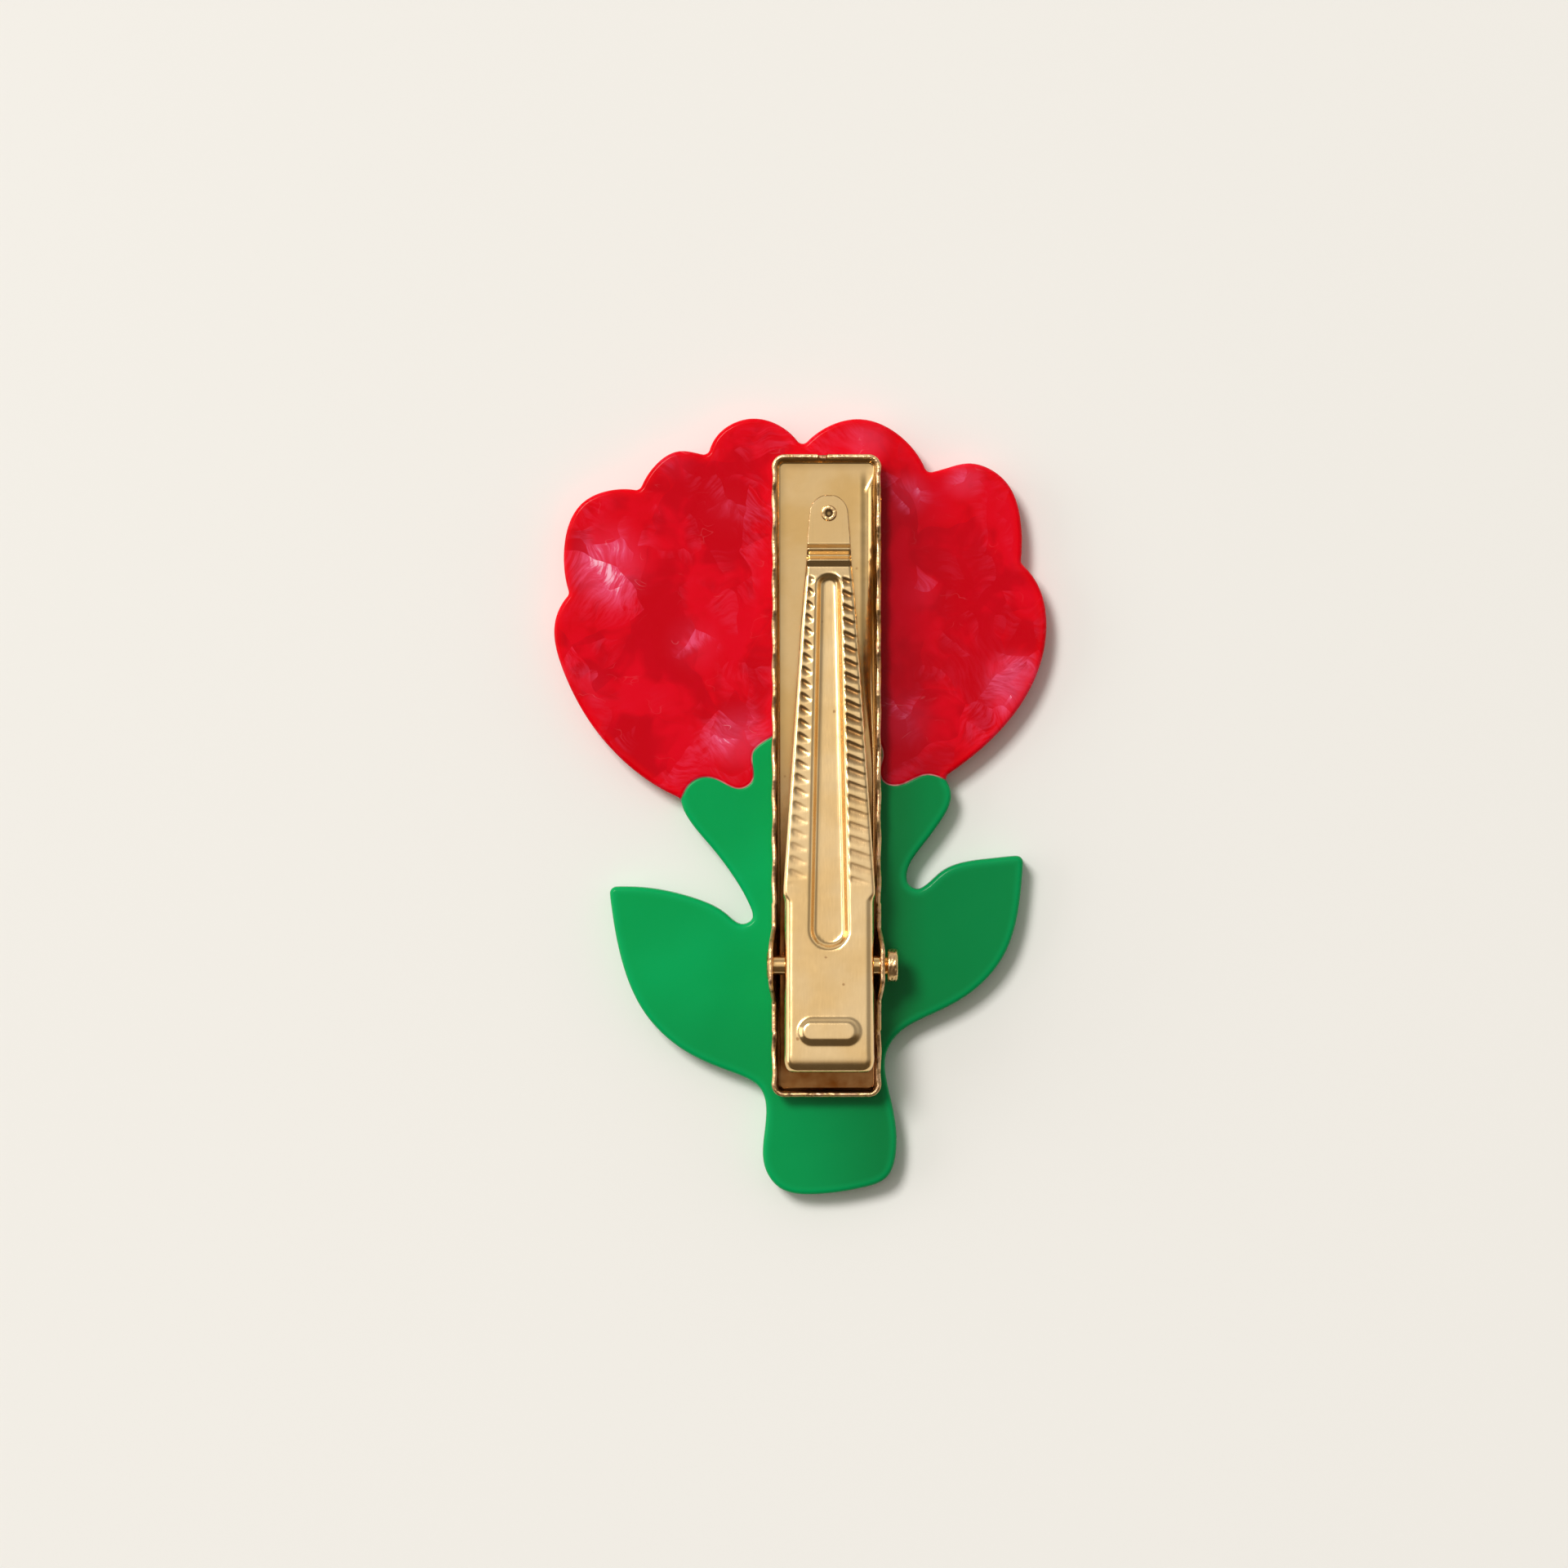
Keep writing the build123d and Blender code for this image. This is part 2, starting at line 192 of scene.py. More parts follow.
def thicken(top, faces, sheet, bulge):
    # second skin one sheet away, and a rounded rim where the first one ends
    top = np.array(top, float)
    normals = np.zeros_like(top)
    for face in faces:
        a, b, c = (top[k] for k in face[:3])
        turn = np.cross(c - a, top[face[-1]] - b)
        for k in face:
            normals[k] += turn
    normals /= np.maximum(np.linalg.norm(normals, axis=1), 1e-12)[:, None]
    used = dict.fromkeys(pair for face in faces for pair in zip(face, [*face[1:], face[0]]))
    rim = [pair for pair in used if (pair[1], pair[0]) not in used]
    outward = {}
    for a, b in rim:
        away = np.cross(top[b] - top[a], (normals[a] + normals[b]) / 2)
        for k in (a, b):
            outward[k] = outward.get(k, 0) + away
    for k in outward:
        outward[k] = outward[k] / max(np.linalg.norm(outward[k]), 1e-12)
        top[k] = top[k] - outward[k] * bulge
    count = len(top)
    points = [*top, *(top - normals * sheet)]
    made = [list(face) for face in faces]
    made += [[k + count for k in face][::-1] for face in faces]
    wear = [1.0 if k in outward else 0.0 for k in range(count)] * 2
    rings = {k: [k] for k in outward}
    for share in (0.1, 0.32, 0.68, 0.9):
        for k in outward:
            rings[k].append(len(points))
            reach = bulge * math.sin(math.pi * share) ** 0.6
            points.append(top[k] - normals[k] * sheet * share + outward[k] * reach)
            wear.append(1.0)
    for k in outward:
        rings[k].append(k + count)
    for a, b in rim:
        for step in range(len(rings[a]) - 1):
            made.append([rings[b][step], rings[a][step], rings[a][step + 1], rings[b][step + 1]])
    return np.array(points), made, wear


def drill(piece, centre, along, radius, length):
    # round hole cut right through a piece
    cutter = bmesh.new()
    bmesh.ops.create_cone(
        cutter, cap_ends=True, segments=48, radius1=radius * mm, radius2=radius * mm, depth=length * mm
    )
    turn = Vector((0, 0, 1)).rotation_difference(Vector(along))
    bmesh.ops.rotate(cutter, verts=cutter.verts, cent=(0, 0, 0), matrix=turn.to_matrix())
    bmesh.ops.translate(cutter, verts=cutter.verts, vec=Vector(centre) * mm)
    shape = bpy.data.meshes.new("cutter")
    cutter.to_mesh(shape)
    cutter.free()
    tool = addObject("cutter", shape)
    change = piece.modifiers.new("hole", "BOOLEAN")
    change.operation = "DIFFERENCE"
    change.solver = "MANIFOLD"
    change.object = tool
    bpy.context.view_layer.update()
    ready = piece.evaluated_get(bpy.context.evaluated_depsgraph_get())
    cut = bpy.data.meshes.new_from_object(ready)
    piece.modifiers.clear()
    piece.data = cut
    bpy.data.objects.remove(tool)


# a socket of a shader node: arithmetic on one adds a Math node
class Shade:
    def __init__(self, tree, socket=None):
        self.tree = tree
        self.socket = socket

    def node(self, kind, settings=None, sockets=None, output=0):
        made = self.tree.nodes.new("ShaderNode" + kind)
        for name, value in (settings or {}).items():
            setattr(made, name, value)
        for name, value in (sockets or {}).items():
            if isinstance(value, Shade):
                self.tree.links.new(value.socket, made.inputs[name])
            else:
                made.inputs[name].default_value = value
        return Shade(self.tree, made.outputs[output] if made.outputs else None)

    def math(self, operation, first, second=0.0):
        return self.node("Math", {"operation": operation}, {0: first, 1: second})

    def vector(self, operation, second, output=0):
        return self.node("VectorMath", {"operation": operation}, {0: self, 1: second}, output)

    def __add__(self, other):
        return self.math("ADD", self, other)

    def __radd__(self, other):
        return self.math("ADD", other, self)

    def __sub__(self, other):
        return self.math("SUBTRACT", self, other)

    def __rsub__(self, other):
        return self.math("SUBTRACT", other, self)

    def __mul__(self, other):
        return self.math("MULTIPLY", self, other)

    def __rmul__(self, other):
        return self.math("MULTIPLY", other, self)


def tint(red, green, blue):
    # screen colour to the linear one the shaders use
    return (*[((c / 255 + 0.055) / 1.055) ** 2.4 if c > 10 else c / 3294 for c in (red, green, blue)], 1)


def newFinish(name):
    finish = bpy.data.materials.new(name)
    finish.use_nodes = True
    finish.node_tree.nodes.clear()
    return finish, Shade(finish.node_tree)


def closeFinish(start, sockets):
    surface = start.node("BsdfPrincipled", None, sockets)
    start.node("OutputMaterial", None, {"Surface": surface})


def inMillimetres(start):
    return start.node("TexCoord", output=3).vector("MULTIPLY", (1000.0, 1000.0, 1000.0))


def axisOf(place, axis):
    return place.node("SeparateXYZ", None, {0: place}, axis)


def stretched(place, x, y, z):
    return place.vector("MULTIPLY", (x, y, z))


def cloud(place, scale, detail=2.0, roughness=0.5, output=0):
    sockets = {"Vector": place, "Scale": scale, "Detail": detail, "Roughness": roughness}
    return place.node("TexNoise", None, sockets, output)


def between(value, low, high):
    # 0 below low, 1 above high, eased in between
    sockets = {"Value": value, "From Min": low, "From Max": high}
    return value.node("MapRange", {"interpolation_type": "SMOOTHSTEP"}, sockets)


def blendColour(amount, first, second):
    return amount.node("Mix", {"data_type": "RGBA"}, {0: amount, 6: first, 7: second}, 2)


def relief(height, strength, distance):
    return height.node("Bump", None, {"Height": height, "Strength": strength, "Distance": distance})


def layerOf(start, name):
    return start.node("Attribute", {"attribute_name": name}, output=2)


def painted(look, base, coats):
    # lays each named colour over the ones before it
    colour = tint(*look[base])
    for name, amount in coats:
        colour = blendColour(amount, colour, tint(*look[name]))
    return colour


def closeAcetate(start, colour, look, uneven, height):
    closeFinish(start, {
        "Base Color": colour,
        "Roughness": look["roughness"] + uneven,
        "IOR": 1.49,
        "Specular IOR Level": look["gloss"],
        "Subsurface Weight": 0.1,
        "Subsurface Radius": look["bleed"],
        "Subsurface Scale": 0.0008,
        "Normal": relief(height, look["waves"], 0.0004),
    })


# red pearl plate
redPearl = {
    "deep": (214, 0, 16),
    "dark": (176, 0, 20),
    "mid": (226, 6, 36),
    "bright": (238, 96, 138),
    "white": (255, 205, 222),
    # painted glow of light coming through the rounded edge
    "rim": (232, 0, 6),
    "shaded": (132, 10, 24),
    "roughness": 0.16,
    "gloss": 0.07,
    "bleed": (1.0, 0.1, 0.1),
    "waves": 0.3,
    "patches": [  # places where the pearl catches the light: x, y, reach, strength
        (-14.9, 18.9, 4.2, 1.0), (-9.7, 27.0, 2.4, 0.5), (-4.9, 5.4, 3.4, 1.0),
        (5.3, 28.6, 2.6, 0.9), (8.3, 24.3, 2.6, 1.3), (12.7, 25.5, 2.4, 1.3),
        (8.0, 6.8, 3.2, 1.1), (16.6, 9.6, 3.4, 1.3), (9.4, 16.6, 2.4, 0.5),
        (-8.4, 12.7, 3.2, 0.6), (-5.7, 23.2, 3.0, 0.2), (-16.3, 9.5, 2.4, 0.4),
    ],
}


def flakes(place, scale, seed, low, high):
    # every cell is a flake that brightens towards one side, stops short there and has its own fibres
    moved = place.vector("ADD", seed)
    cell = {"Vector": moved, "Scale": scale}
    middle = moved.node("TexVoronoi", None, cell, 2)
    dye = moved.node("TexVoronoi", None, cell, 1)
    weight = dye.node("SeparateColor", None, {0: dye}, 1)
    lean = dye.vector("SUBTRACT", (0.5, 0.5, 0.5)).vector("MULTIPLY", (1.0, 1.0, 0.05))
    lean = lean.node("VectorMath", {"operation": "NORMALIZE"}, {0: lean})
    offset = moved.vector("SUBTRACT", middle)
    side = offset.vector("DOT_PRODUCT", lean, 1)
    other = offset.vector("DOT_PRODUCT", lean.vector("CROSS_PRODUCT", (0.0, 0.0, 1.0)), 1)
    grid = side.node("CombineXYZ", None, {0: side * 0.5, 1: other * 2.2, 2: weight * 40.0})
    fibre = between(cloud(grid, 1.4, 4.0, 0.6), 0.36, 0.68)
    return between(side * scale, low, high) * between(weight, 0.2, 0.75), fibre, weight


def makeRedPearl():
    finish, start = newFinish("redPearl")
    place = inMillimetres(start)
    drift = cloud(place, 0.24, 1.5, 0.5, 1).vector("SUBTRACT", (0.5, 0.5, 0.5))
    bent = place.vector("ADD", stretched(drift, 3.4, 3.4, 3.4))
    bent = stretched(bent, 1.0, 1.0, 0.5)
    large, largeFibre, largeTone = flakes(bent, 0.17, (3.0, 1.0, 0.0), -0.3, 0.5)
    small, smallFibre, smallTone = flakes(bent, 0.4, (11.0, 5.0, 2.0), -0.1, 0.4)
    lit = 0.0 * large
    for x, y, reach, strength in redPearl["patches"]:
        far = place.vector("DISTANCE", (x, y, 1.2), 1)
        lit = lit.math("MAXIMUM", lit, between(far, reach, reach * 0.15) * strength)
    veil = between(cloud(bent, 0.2, 5.0, 0.62), 0.36, 0.68)
    shade = between(cloud(bent, 0.2, 3.0, 0.55) + largeTone * 0.14 + smallTone * 0.06, 0.64, 0.5)
    pearl = large * (0.2 + largeFibre * 0.8) + small * (0.25 + smallFibre * 0.9)
    pearl = lit * (0.1 + largeTone * 0.2 + pearl)
    # hairline glints along the flakes
    line = cloud(stretched(bent, 0.6, 1.0, 1.0), 0.55, 2.0, 0.5)
    glint = between((line - 0.5).math("ABSOLUTE", line - 0.5), 0.01, 0.001)
    glint = glint * between(cloud(place, 0.45, 2.0), 0.56, 0.68) * (0.03 + lit * 0.5)
    # painted shadow of the tray's wall on the plate next to it
    x, y = axisOf(place, 0), axisOf(place, 1)
    clipShadow = between(x, 4.0, 6.6) * between(x, 13.0, 6.8) * between(y, 28.0, 23.0)
    colour = painted(redPearl, "deep", [
        ("mid", veil * 0.6 + large * 0.4 * largeFibre),
        ("dark", shade * 0.5),
        ("bright", large * largeFibre * 0.16 + small * smallFibre * 0.1),
        ("bright", pearl.math("MINIMUM", pearl * 1.05, 0.9)),
        ("white", between(pearl, 0.55, 1.1) * 0.7),
        ("white", glint),
        # painted glow where light comes through the rounded edge
        ("rim", between(layerOf(start, "edgeDistance"), 0.9, 0.3) * 0.4),
        ("shaded", clipShadow * 0.55),
    ])
    rub = cloud(place, 2.2, 4.0, 0.6)
    closeAcetate(start, colour, redPearl, (rub - 0.5) * 0.08, cloud(place, 0.16, 2.0) + rub * 0.02)
    return finish


greenPlate = {
    "body": (0, 156, 78),
    "light": (0, 166, 88),
    # darker green for the right side's painted shade and the lower stem
    "deep": (6, 124, 62),
    # colour of the clip's painted shadow
    "dark": (20, 96, 46),
    # painted glow of light coming through the rounded edge
    "rim": (14, 176, 104),
    "roughness": 0.2,
    "gloss": 0.1,
    "bleed": (0.1, 1.0, 0.3),
    "waves": 0.35,
}


def makeGreenPlate():
    finish, start = newFinish("greenAcetate")
    place = inMillimetres(start)
    x, y = axisOf(place, 0), axisOf(place, 1)
    # darker towards the right, which is painted shade on the side away from the light, and darker down the
    # stem
    darkerRightAndDown = between(x, -4.0, 11.0) * 0.85 + between(y, -13.0, -20.0) * 0.35
    # painted shadow of the clip on the plate, right of its lower end
    clipShadow = between(x, 5.5, 7.2) * between(x, 10.5, 7.4) * between(y, -23.0, -17.0)
    colour = painted(greenPlate, "body", [
        ("light", between(cloud(place, 0.07, 2.0), 0.35, 0.65)),
        ("deep", darkerRightAndDown.math("MINIMUM", darkerRightAndDown, 1.0)),
        ("dark", clipShadow * 0.5),
        # painted glow where light comes through the rounded edge
        ("rim", between(layerOf(start, "edgeDistance"), 0.8, 0.2) * 0.3),
    ])
    rub = cloud(place, 1.6, 4.0, 0.6)
    # fine polishing scratches, seen only in the gloss
    scratch = between(cloud(stretched(place, 0.5, 7.0, 1.0), 0.9, 3.0), 0.6, 0.75)
    uneven = (rub - 0.5) * 0.1 + scratch * 0.05
    closeAcetate(start, colour, greenPlate, uneven, cloud(place, 0.14, 2.0) + rub * 0.02)
    return finish


# cement, spring wire and glue: two tones and a little grain; noise is given as scale, detail, roughness
plain = {
    "clearCement": {
        "tones": ((120, 48, 44), (196, 120, 116)),
        "tone": (0.5, 3.0),
        "spread": (0.4, 0.6),
        "rub": (3.0, 3.0),
        "roughness": (0.25, 0.2),  # least, and what the noise adds
        "other": {"IOR": 1.47},
    },
    "springWire": {
        "tones": ((176, 150, 112), (206, 182, 140)),
        "tone": (2.0, 4.0, 0.6),
        "spread": (0.35, 0.65),
        "rub": (2.0, 4.0, 0.6),
        "roughness": (0.26, 0.16),
        "grain": (7.0, 3.0),
        "relief": (0.3, 0.00003),
        "other": {"Metallic": 1.0},
    },
    "glueFilm": {
        "tones": ((206, 196, 168), (232, 226, 206)),
        "tone": (0.8, 4.0, 0.6),
        "spread": (0.35, 0.65),
        "rub": (0.8, 4.0, 0.6),
        "roughness": (0.32, 0.2),
        "grain": (0.8, 4.0, 0.6),
        "relief": (0.5, 0.0001),
        "other": {"IOR": 1.5},
    },
}


def makePlain(name):
    finish, start = newFinish(name)
    place, look = inMillimetres(start), plain[name]
    tone = between(cloud(place, *look["tone"]), *look["spread"])
    least, more = look["roughness"]
    colour = blendColour(tone, *[tint(*each) for each in look["tones"]])
    sockets = {**look["other"], "Base Color": colour}
    sockets["Roughness"] = least + cloud(place, *look["rub"]) * more
    if "grain" in look:
        sockets["Normal"] = relief(cloud(place, *look["grain"]), *look["relief"])
    closeFinish(start, sockets)
    return finish


gold = {
    "pale": (246, 212, 158),
    "warm": (232, 188, 118),
    "worn": (232, 184, 150),
    "stain": (150, 98, 48),
    # painted shade seen through the eyelet's hole
    "eyeletHoleShade": (52, 34, 22),
    # painted shade under the lever
    "amber": (122, 68, 22),
    # painted shade along the right-hand fold and the inner walls
    "paintedShadeBrown": (112, 92, 58),
    # painted shade in the hollows, also dark chips on worn edges
    "darkHollowsAndChips": (132, 88, 42),
    "roughness": 0.2,
}


def makeGold(name, warmth, drawn, eyeletShadeSpot=None):
    # plated brass: cloudy tone, drawn lines, a few dark specks, worn edges, painted shade in the hollows;
    # the tray also gets painted shade where the lever and its walls keep the light off
    finish, start = newFinish(name)
    place = inMillimetres(start)
    tone = between(cloud(place, 0.22, 3.0), 0.35, 0.65)
    lines = cloud(stretched(place, 9.0, 0.35, 9.0) if drawn else place, 1.0, 3.0, 0.6)
    cloudy = cloud(place, 0.9, 5.0, 0.6)
    speck = place.node("TexVoronoi", None, {"Vector": place, "Scale": 0.42})
    dot = between(speck + (cloud(place, 4.0, 2.0) - 0.5) * 0.06, 0.075, 0.03)
    coats = [("warm", tone * 0.5 + warmth), ("stain", dot * 0.6)]
    if eyeletShadeSpot:
        # painted shade on the tray floor, seen through the eyelet's hole
        far = place.vector("DISTANCE", eyeletShadeSpot, 1)
        ring = between(far, 0.5, 0.3) * (0.5 + between(far, 0.05, 0.2) * 0.42)
        inside = layerOf(start, "inside")
        x, y, z = (axisOf(place, k) for k in range(3))
        # painted shade inside the tray, under the lever
        underLeverShade = inside * between(z, 4.3, 3.3) * between(y, 9.0, -10.0)
        # painted shade along the right-hand fold next to the lever
        fold = inside * between(x, 4.5, 4.85) * between(x, 5.25, 4.95)
        fold = fold * between(y, 4.0, 12.0) * between(y, 26.5, 25.0)
        # painted shade on the inner walls below the rim
        wall = inside * between(z, 3.05, 3.35) * between(z, 4.45, 4.2)
        coats += [("eyeletHoleShade", ring), ("amber", underLeverShade * (0.7 + cloudy * 0.4))]
        coats += [("paintedShadeBrown", fold * 0.75), ("paintedShadeBrown", wall * 0.5)]
    # painted shade in the tooth dips, and darker at the tray's notch
    hollowDarkening = layerOf(start, "hollowDarkening") * (0.6 + cloudy * 0.6)
    wear = layerOf(start, "wear")
    chip = between(cloud(place, 2.4, 4.0, 0.7), 0.35, 0.6)
    nick = wear * between(cloud(place, 1.3, 4.0, 0.7), 0.52, 0.64)
    coats += [("darkHollowsAndChips", hollowDarkening.math("MINIMUM", hollowDarkening, 0.9))]
    coats += [("worn", wear * chip * 0.7), ("darkHollowsAndChips", nick * 0.6)]
    colour = painted(gold, "pale", coats)
    gloss = gold["roughness"] + (cloudy - 0.5) * 0.12 + (lines - 0.5) * 0.1 + wear * 0.12 + hollowDarkening * 0.15
    closeFinish(start, {
        "Base Color": colour,
        "Metallic": 1.0,
        "Roughness": gloss,
        "Normal": relief(lines * 0.25 + cloudy * 0.3 + wear * chip * 1.2, 0.3, 0.00005),
    })
    return finish


redFinish = makeRedPearl()
greenFinish = makeGreenPlate()
cementFinish = makePlain("clearCement")
leverShift = 0.2  # the lever sits this far to +X of the tray's middle
eyeletInset = 1.45  # hole in the tongue, from the lever's tip
metalSheet = 0.35  # thickness of the tray and the lever
trayLow, trayHigh = boxOf("base_tray")
leverTip, leverLow = boxOf("lever")[1][1], boxOf("lever")[0][2]
underEyelet = (pivot[0] + leverShift, leverTip - eyeletInset, trayLow[2] + metalSheet)
trayFinish = makeGold("platedTray", 0.35, False, underEyelet)
leverFinish = makeGold("platedLever", 0.0, True)
pinFinish = makeGold("platedPin", 0.5, False)
wireFinish = makePlain("springWire")
glueFinish = makePlain("glueFilm")
print("finishes ready")


# flower plates: one polished blank, red above the seam and green below it
plates = {
    "edgeRadius": 0.36,
    "spacing": 0.2,
    "insets": (0.01, 0.035, 0.08, 0.14, 0.21, 0.29, 0.4, 0.6, 0.9, 1.3),
    "fill": 0.8,
    "seamDip": 0.03,  # both plates sink a little towards the cement
    "seamReach": 0.16,
    "hollow": 0.02,  # the polished faces aren't quite flat
}


def midSection(node):
    # outline of a CAD plate half way up, walked round once
    low, high = boxOf(node)
    work = bmesh.new()
    work.from_mesh(frame["nodes"][node].data)
    bmesh.ops.remove_doubles(work, verts=work.verts, dist=1e-7)
    every = [*work.verts, *work.edges, *work.faces]
    level = (0, 0, (low[2] + high[2]) / 2 * mm)
    bmesh.ops.bisect_plane(
        work, geom=every, dist=1e-8, plane_co=level, plane_no=(0, 0, 1), clear_inner=True, clear_outer=True
    )
    bmesh.ops.remove_doubles(work, verts=work.verts, dist=1e-6)
    work.verts.ensure_lookup_table()
    loop, before = [work.verts[0]], None
    while before is None or loop[-1] is not loop[0]:
        onward = [edge.other_vert(loop[-1]) for edge in loop[-1].link_edges]
        onward = [vert for vert in onward if vert is not before]
        before = loop[-1]
        loop.append(onward[0])
    points = np.array([vert.co[:2] for vert in loop[:-1]]) / mm
    work.free()
    ahead = following(points)
    area = (points[:, 0] * ahead[:, 1] - ahead[:, 0] * points[:, 1]).sum()
    return points if area > 0 else points[::-1]


def turnsOf(points):
    ahead = following(points) - points
    behind = points - np.roll(points, 1, 0)
    bend = np.arctan2(ahead[:, 1], ahead[:, 0]) - np.arctan2(behind[:, 1], behind[:, 0])
    return np.abs((bend + math.pi) % (2 * math.pi) - math.pi)


def smoothLoop(points, spacing):
    # curve through the corners of the section, sharp only where it really turns
    points = points[turnsOf(points) > math.radians(0.25)]
    hard = turnsOf(points) > math.radians(38)
    ahead = following(points) - points
    run = np.maximum(np.linalg.norm(ahead, axis=1), 1e-9)
    way = ahead / run[:, None]
    wayBefore, runBefore = np.roll(way, 1, 0), np.roll(run, 1)
    tangent = (way * runBefore[:, None] + wayBefore * run[:, None]) / (run + runBefore)[:, None]
    made = []
    for k in range(len(points)):
        after = (k + 1) % len(points)
        leave = way[k] if hard[k] else tangent[k]
        arrive = way[k] if hard[after] else tangent[after]
        steps = max(1, round(run[k] / spacing))
        for t in np.arange(steps) / steps:
            a, b = 2 * t ** 3 - 3 * t ** 2 + 1, t ** 3 - 2 * t ** 2 + t
            c, d = 3 * t ** 2 - 2 * t ** 3, t ** 3 - t ** 2
            made.append(a * points[k] + b * run[k] * leave + c * points[after] + d * run[k] * arrive)
    return np.clip(made, points.min(0), points.max(0))


plateNodes = ("flower_petals", "stem_and_leaves", "seam_cement")
loops = {node: smoothLoop(midSection(node), plates["spacing"]) for node in plateNodes}
outerRuns, seamRuns = [], []
for node in plateNodes:
    loop = loops[node]
    ahead = following(loop)
    others = [loops[other] for other in plateNodes if other != node]
    starts = np.concatenate(others)
    ends = np.concatenate([following(other) for other in others])
    free = distanceTo((loop + ahead) / 2, starts, ends) > 0.025
    outerRuns.append((loop[free], ahead[free]))
    seamRuns.append((loop[~free], ahead[~free]))
outerStarts, outerEnds = (np.concatenate(part) for part in zip(*outerRuns))
seamStarts, seamEnds = (np.concatenate(part) for part in zip(*seamRuns))


def plateTop(points, thickness, drop):
    radius = plates["edgeRadius"]
    edge = distanceTo(points, outerStarts, outerEnds)
    near = np.minimum(edge, radius)
    height = thickness - radius + np.sqrt(np.maximum(radius ** 2 - (radius - near) ** 2, 0))
    seam = distanceTo(points, seamStarts, seamEnds)
    height -= plates["seamDip"] * (1 - ease(0, plates["seamReach"], seam)) * ease(0, 0.5, edge)
    swell = np.array([wobble(x, y, 9.0, 3.1) for x, y in points])
    height -= plates["hollow"] * (0.5 + 0.5 * swell) * ease(0.3, 3, edge)
    return height - drop * ease(0, 0.3, edge), edge


def makePlate(node, name, finish, drop=0.0, rings=True):
    loop = loops[node]
    low, high = boxOf(node)
    inner = np.zeros((0, 2))
    if rings:
        tangent = following(loop) - np.roll(loop, 1, 0)
        inward = np.stack([-tangent[:, 1], tangent[:, 0]], 1)
        inward /= np.linalg.norm(inward, axis=1)[:, None]
        found = []
        for inset in plates["insets"]:
            ring = (loop + inward * inset)[:: 1 if inset < 0.6 else 2]
            clear = distanceTo(ring, loop) > inset * 0.96
            found.append(ring[clear & insideOf(ring, loop)])
        step = plates["fill"]
        across = np.arange(loop[:, 0].min(), loop[:, 0].max(), step)
        along = np.arange(loop[:, 1].min(), loop[:, 1].max(), step * 0.87)
        grid = np.array([(x + step / 2 * (k % 2), y) for k, y in enumerate(along) for x in across])
        grid = grid[insideOf(grid, loop)]
        found.append(grid[distanceTo(grid, loop) > 1.8])
        inner = np.concatenate(found)
    flat = np.concatenate([loop, inner])
    height, edge = plateTop(flat, high[2] - low[2], drop)
    count, around = len(flat), len(loop)
    top = np.column_stack([flat, low[2] + height])
    bottom = np.column_stack([flat, high[2] - height])
    triangles = fillLoop(loop, inner)
    faces = triangles + [[k + count for k in face][::-1] for face in triangles]
    points, distances = [*top, *bottom], [*edge, *edge]
    rows = [list(range(count, count + around))]
    for share in (0.25, 0.5, 0.75):
        rows.append(list(range(len(points), len(points) + around)))
        points += [bottom[k] + (top[k] - bottom[k]) * share for k in range(around)]
        distances += [0.0] * around
    rows.append(list(range(around)))
    faces += skinRows(rows)
    layers = {"edgeDistance": distances}
    return makePiece(name, points, faces, finish, "base", node, layers, 50)


makePlate("flower_petals", "flowerPetals", redFinish)
makePlate("stem_and_leaves", "stemAndLeaves", greenFinish)
makePlate("seam_cement", "seamCement", cementFinish, 0.015, False)


# glue film squeezed out unevenly under the tray
glue = {"corner": 1.0, "inset": 0.05, "uneven": 0.22, "spacing": 0.4}


def makeGlueFilm():
    low, high = boxOf("clip_adhesive")
    half = (high - low)[:2] / 2 - glue["corner"]
    way = roundedWay((low + high)[:2] / 2, half, glue["spacing"], 7)
    edge = []
    for spot, away, _ in way:
        back = glue["inset"] + glue["uneven"] * (0.5 + 0.5 * wobble(spot[0], spot[1], 2.3, 8.0))
        edge.append(spot + away * (glue["corner"] - back))
    edge, away = np.array(edge), np.array([out for _, out, _ in way])
    count, points = len(edge), []
    # the film's edge swells half way up
    for back, share in ((0.12, 0.0), (0.03, 0.15), (0.0, 0.5), (0.03, 0.85), (0.12, 1.0)):
        level = low[2] + (high[2] - low[2]) * share
        points += [(x, y, level) for x, y in edge - away * back]
    face = fillLoop(np.array(points)[:count, :2], np.zeros((0, 2)))
    faces = [list(f)[::-1] for f in face] + [[k + 4 * count for k in f] for f in face]
    faces += skinRows(numbered(5, count))
    return makePiece("glueFilm", points, faces, glueFinish, "base", "clip_adhesive")


makeGlueFilm()


# stamped tray with leaning walls, waved rims and two ears
tray = {
    "width": 8.55,
    "length": 50.0,
    "rim": 1.9,
    "lean": 6.5,  # degrees
    "corner": 1.0,
    "bend": 0.2,
    "softBend": 0.85,
    "pitch": 3.3,  # waves along the long rims
    "dipLength": 2.4,
    "dip": 0.28,
    "sway": 0.075,
    "ear": 4.2,
    "earBase": 5.9,
    "earTop": 3.0,
    "earRound": 0.75,
    "pinHole": 0.76,
    "notch": 0.64,
    "notchDepth": 0.4,
    "notchShift": 0.3,
    "spacing": 0.15,
    "rough": 0.03,  # burrs left along the cut rim
}


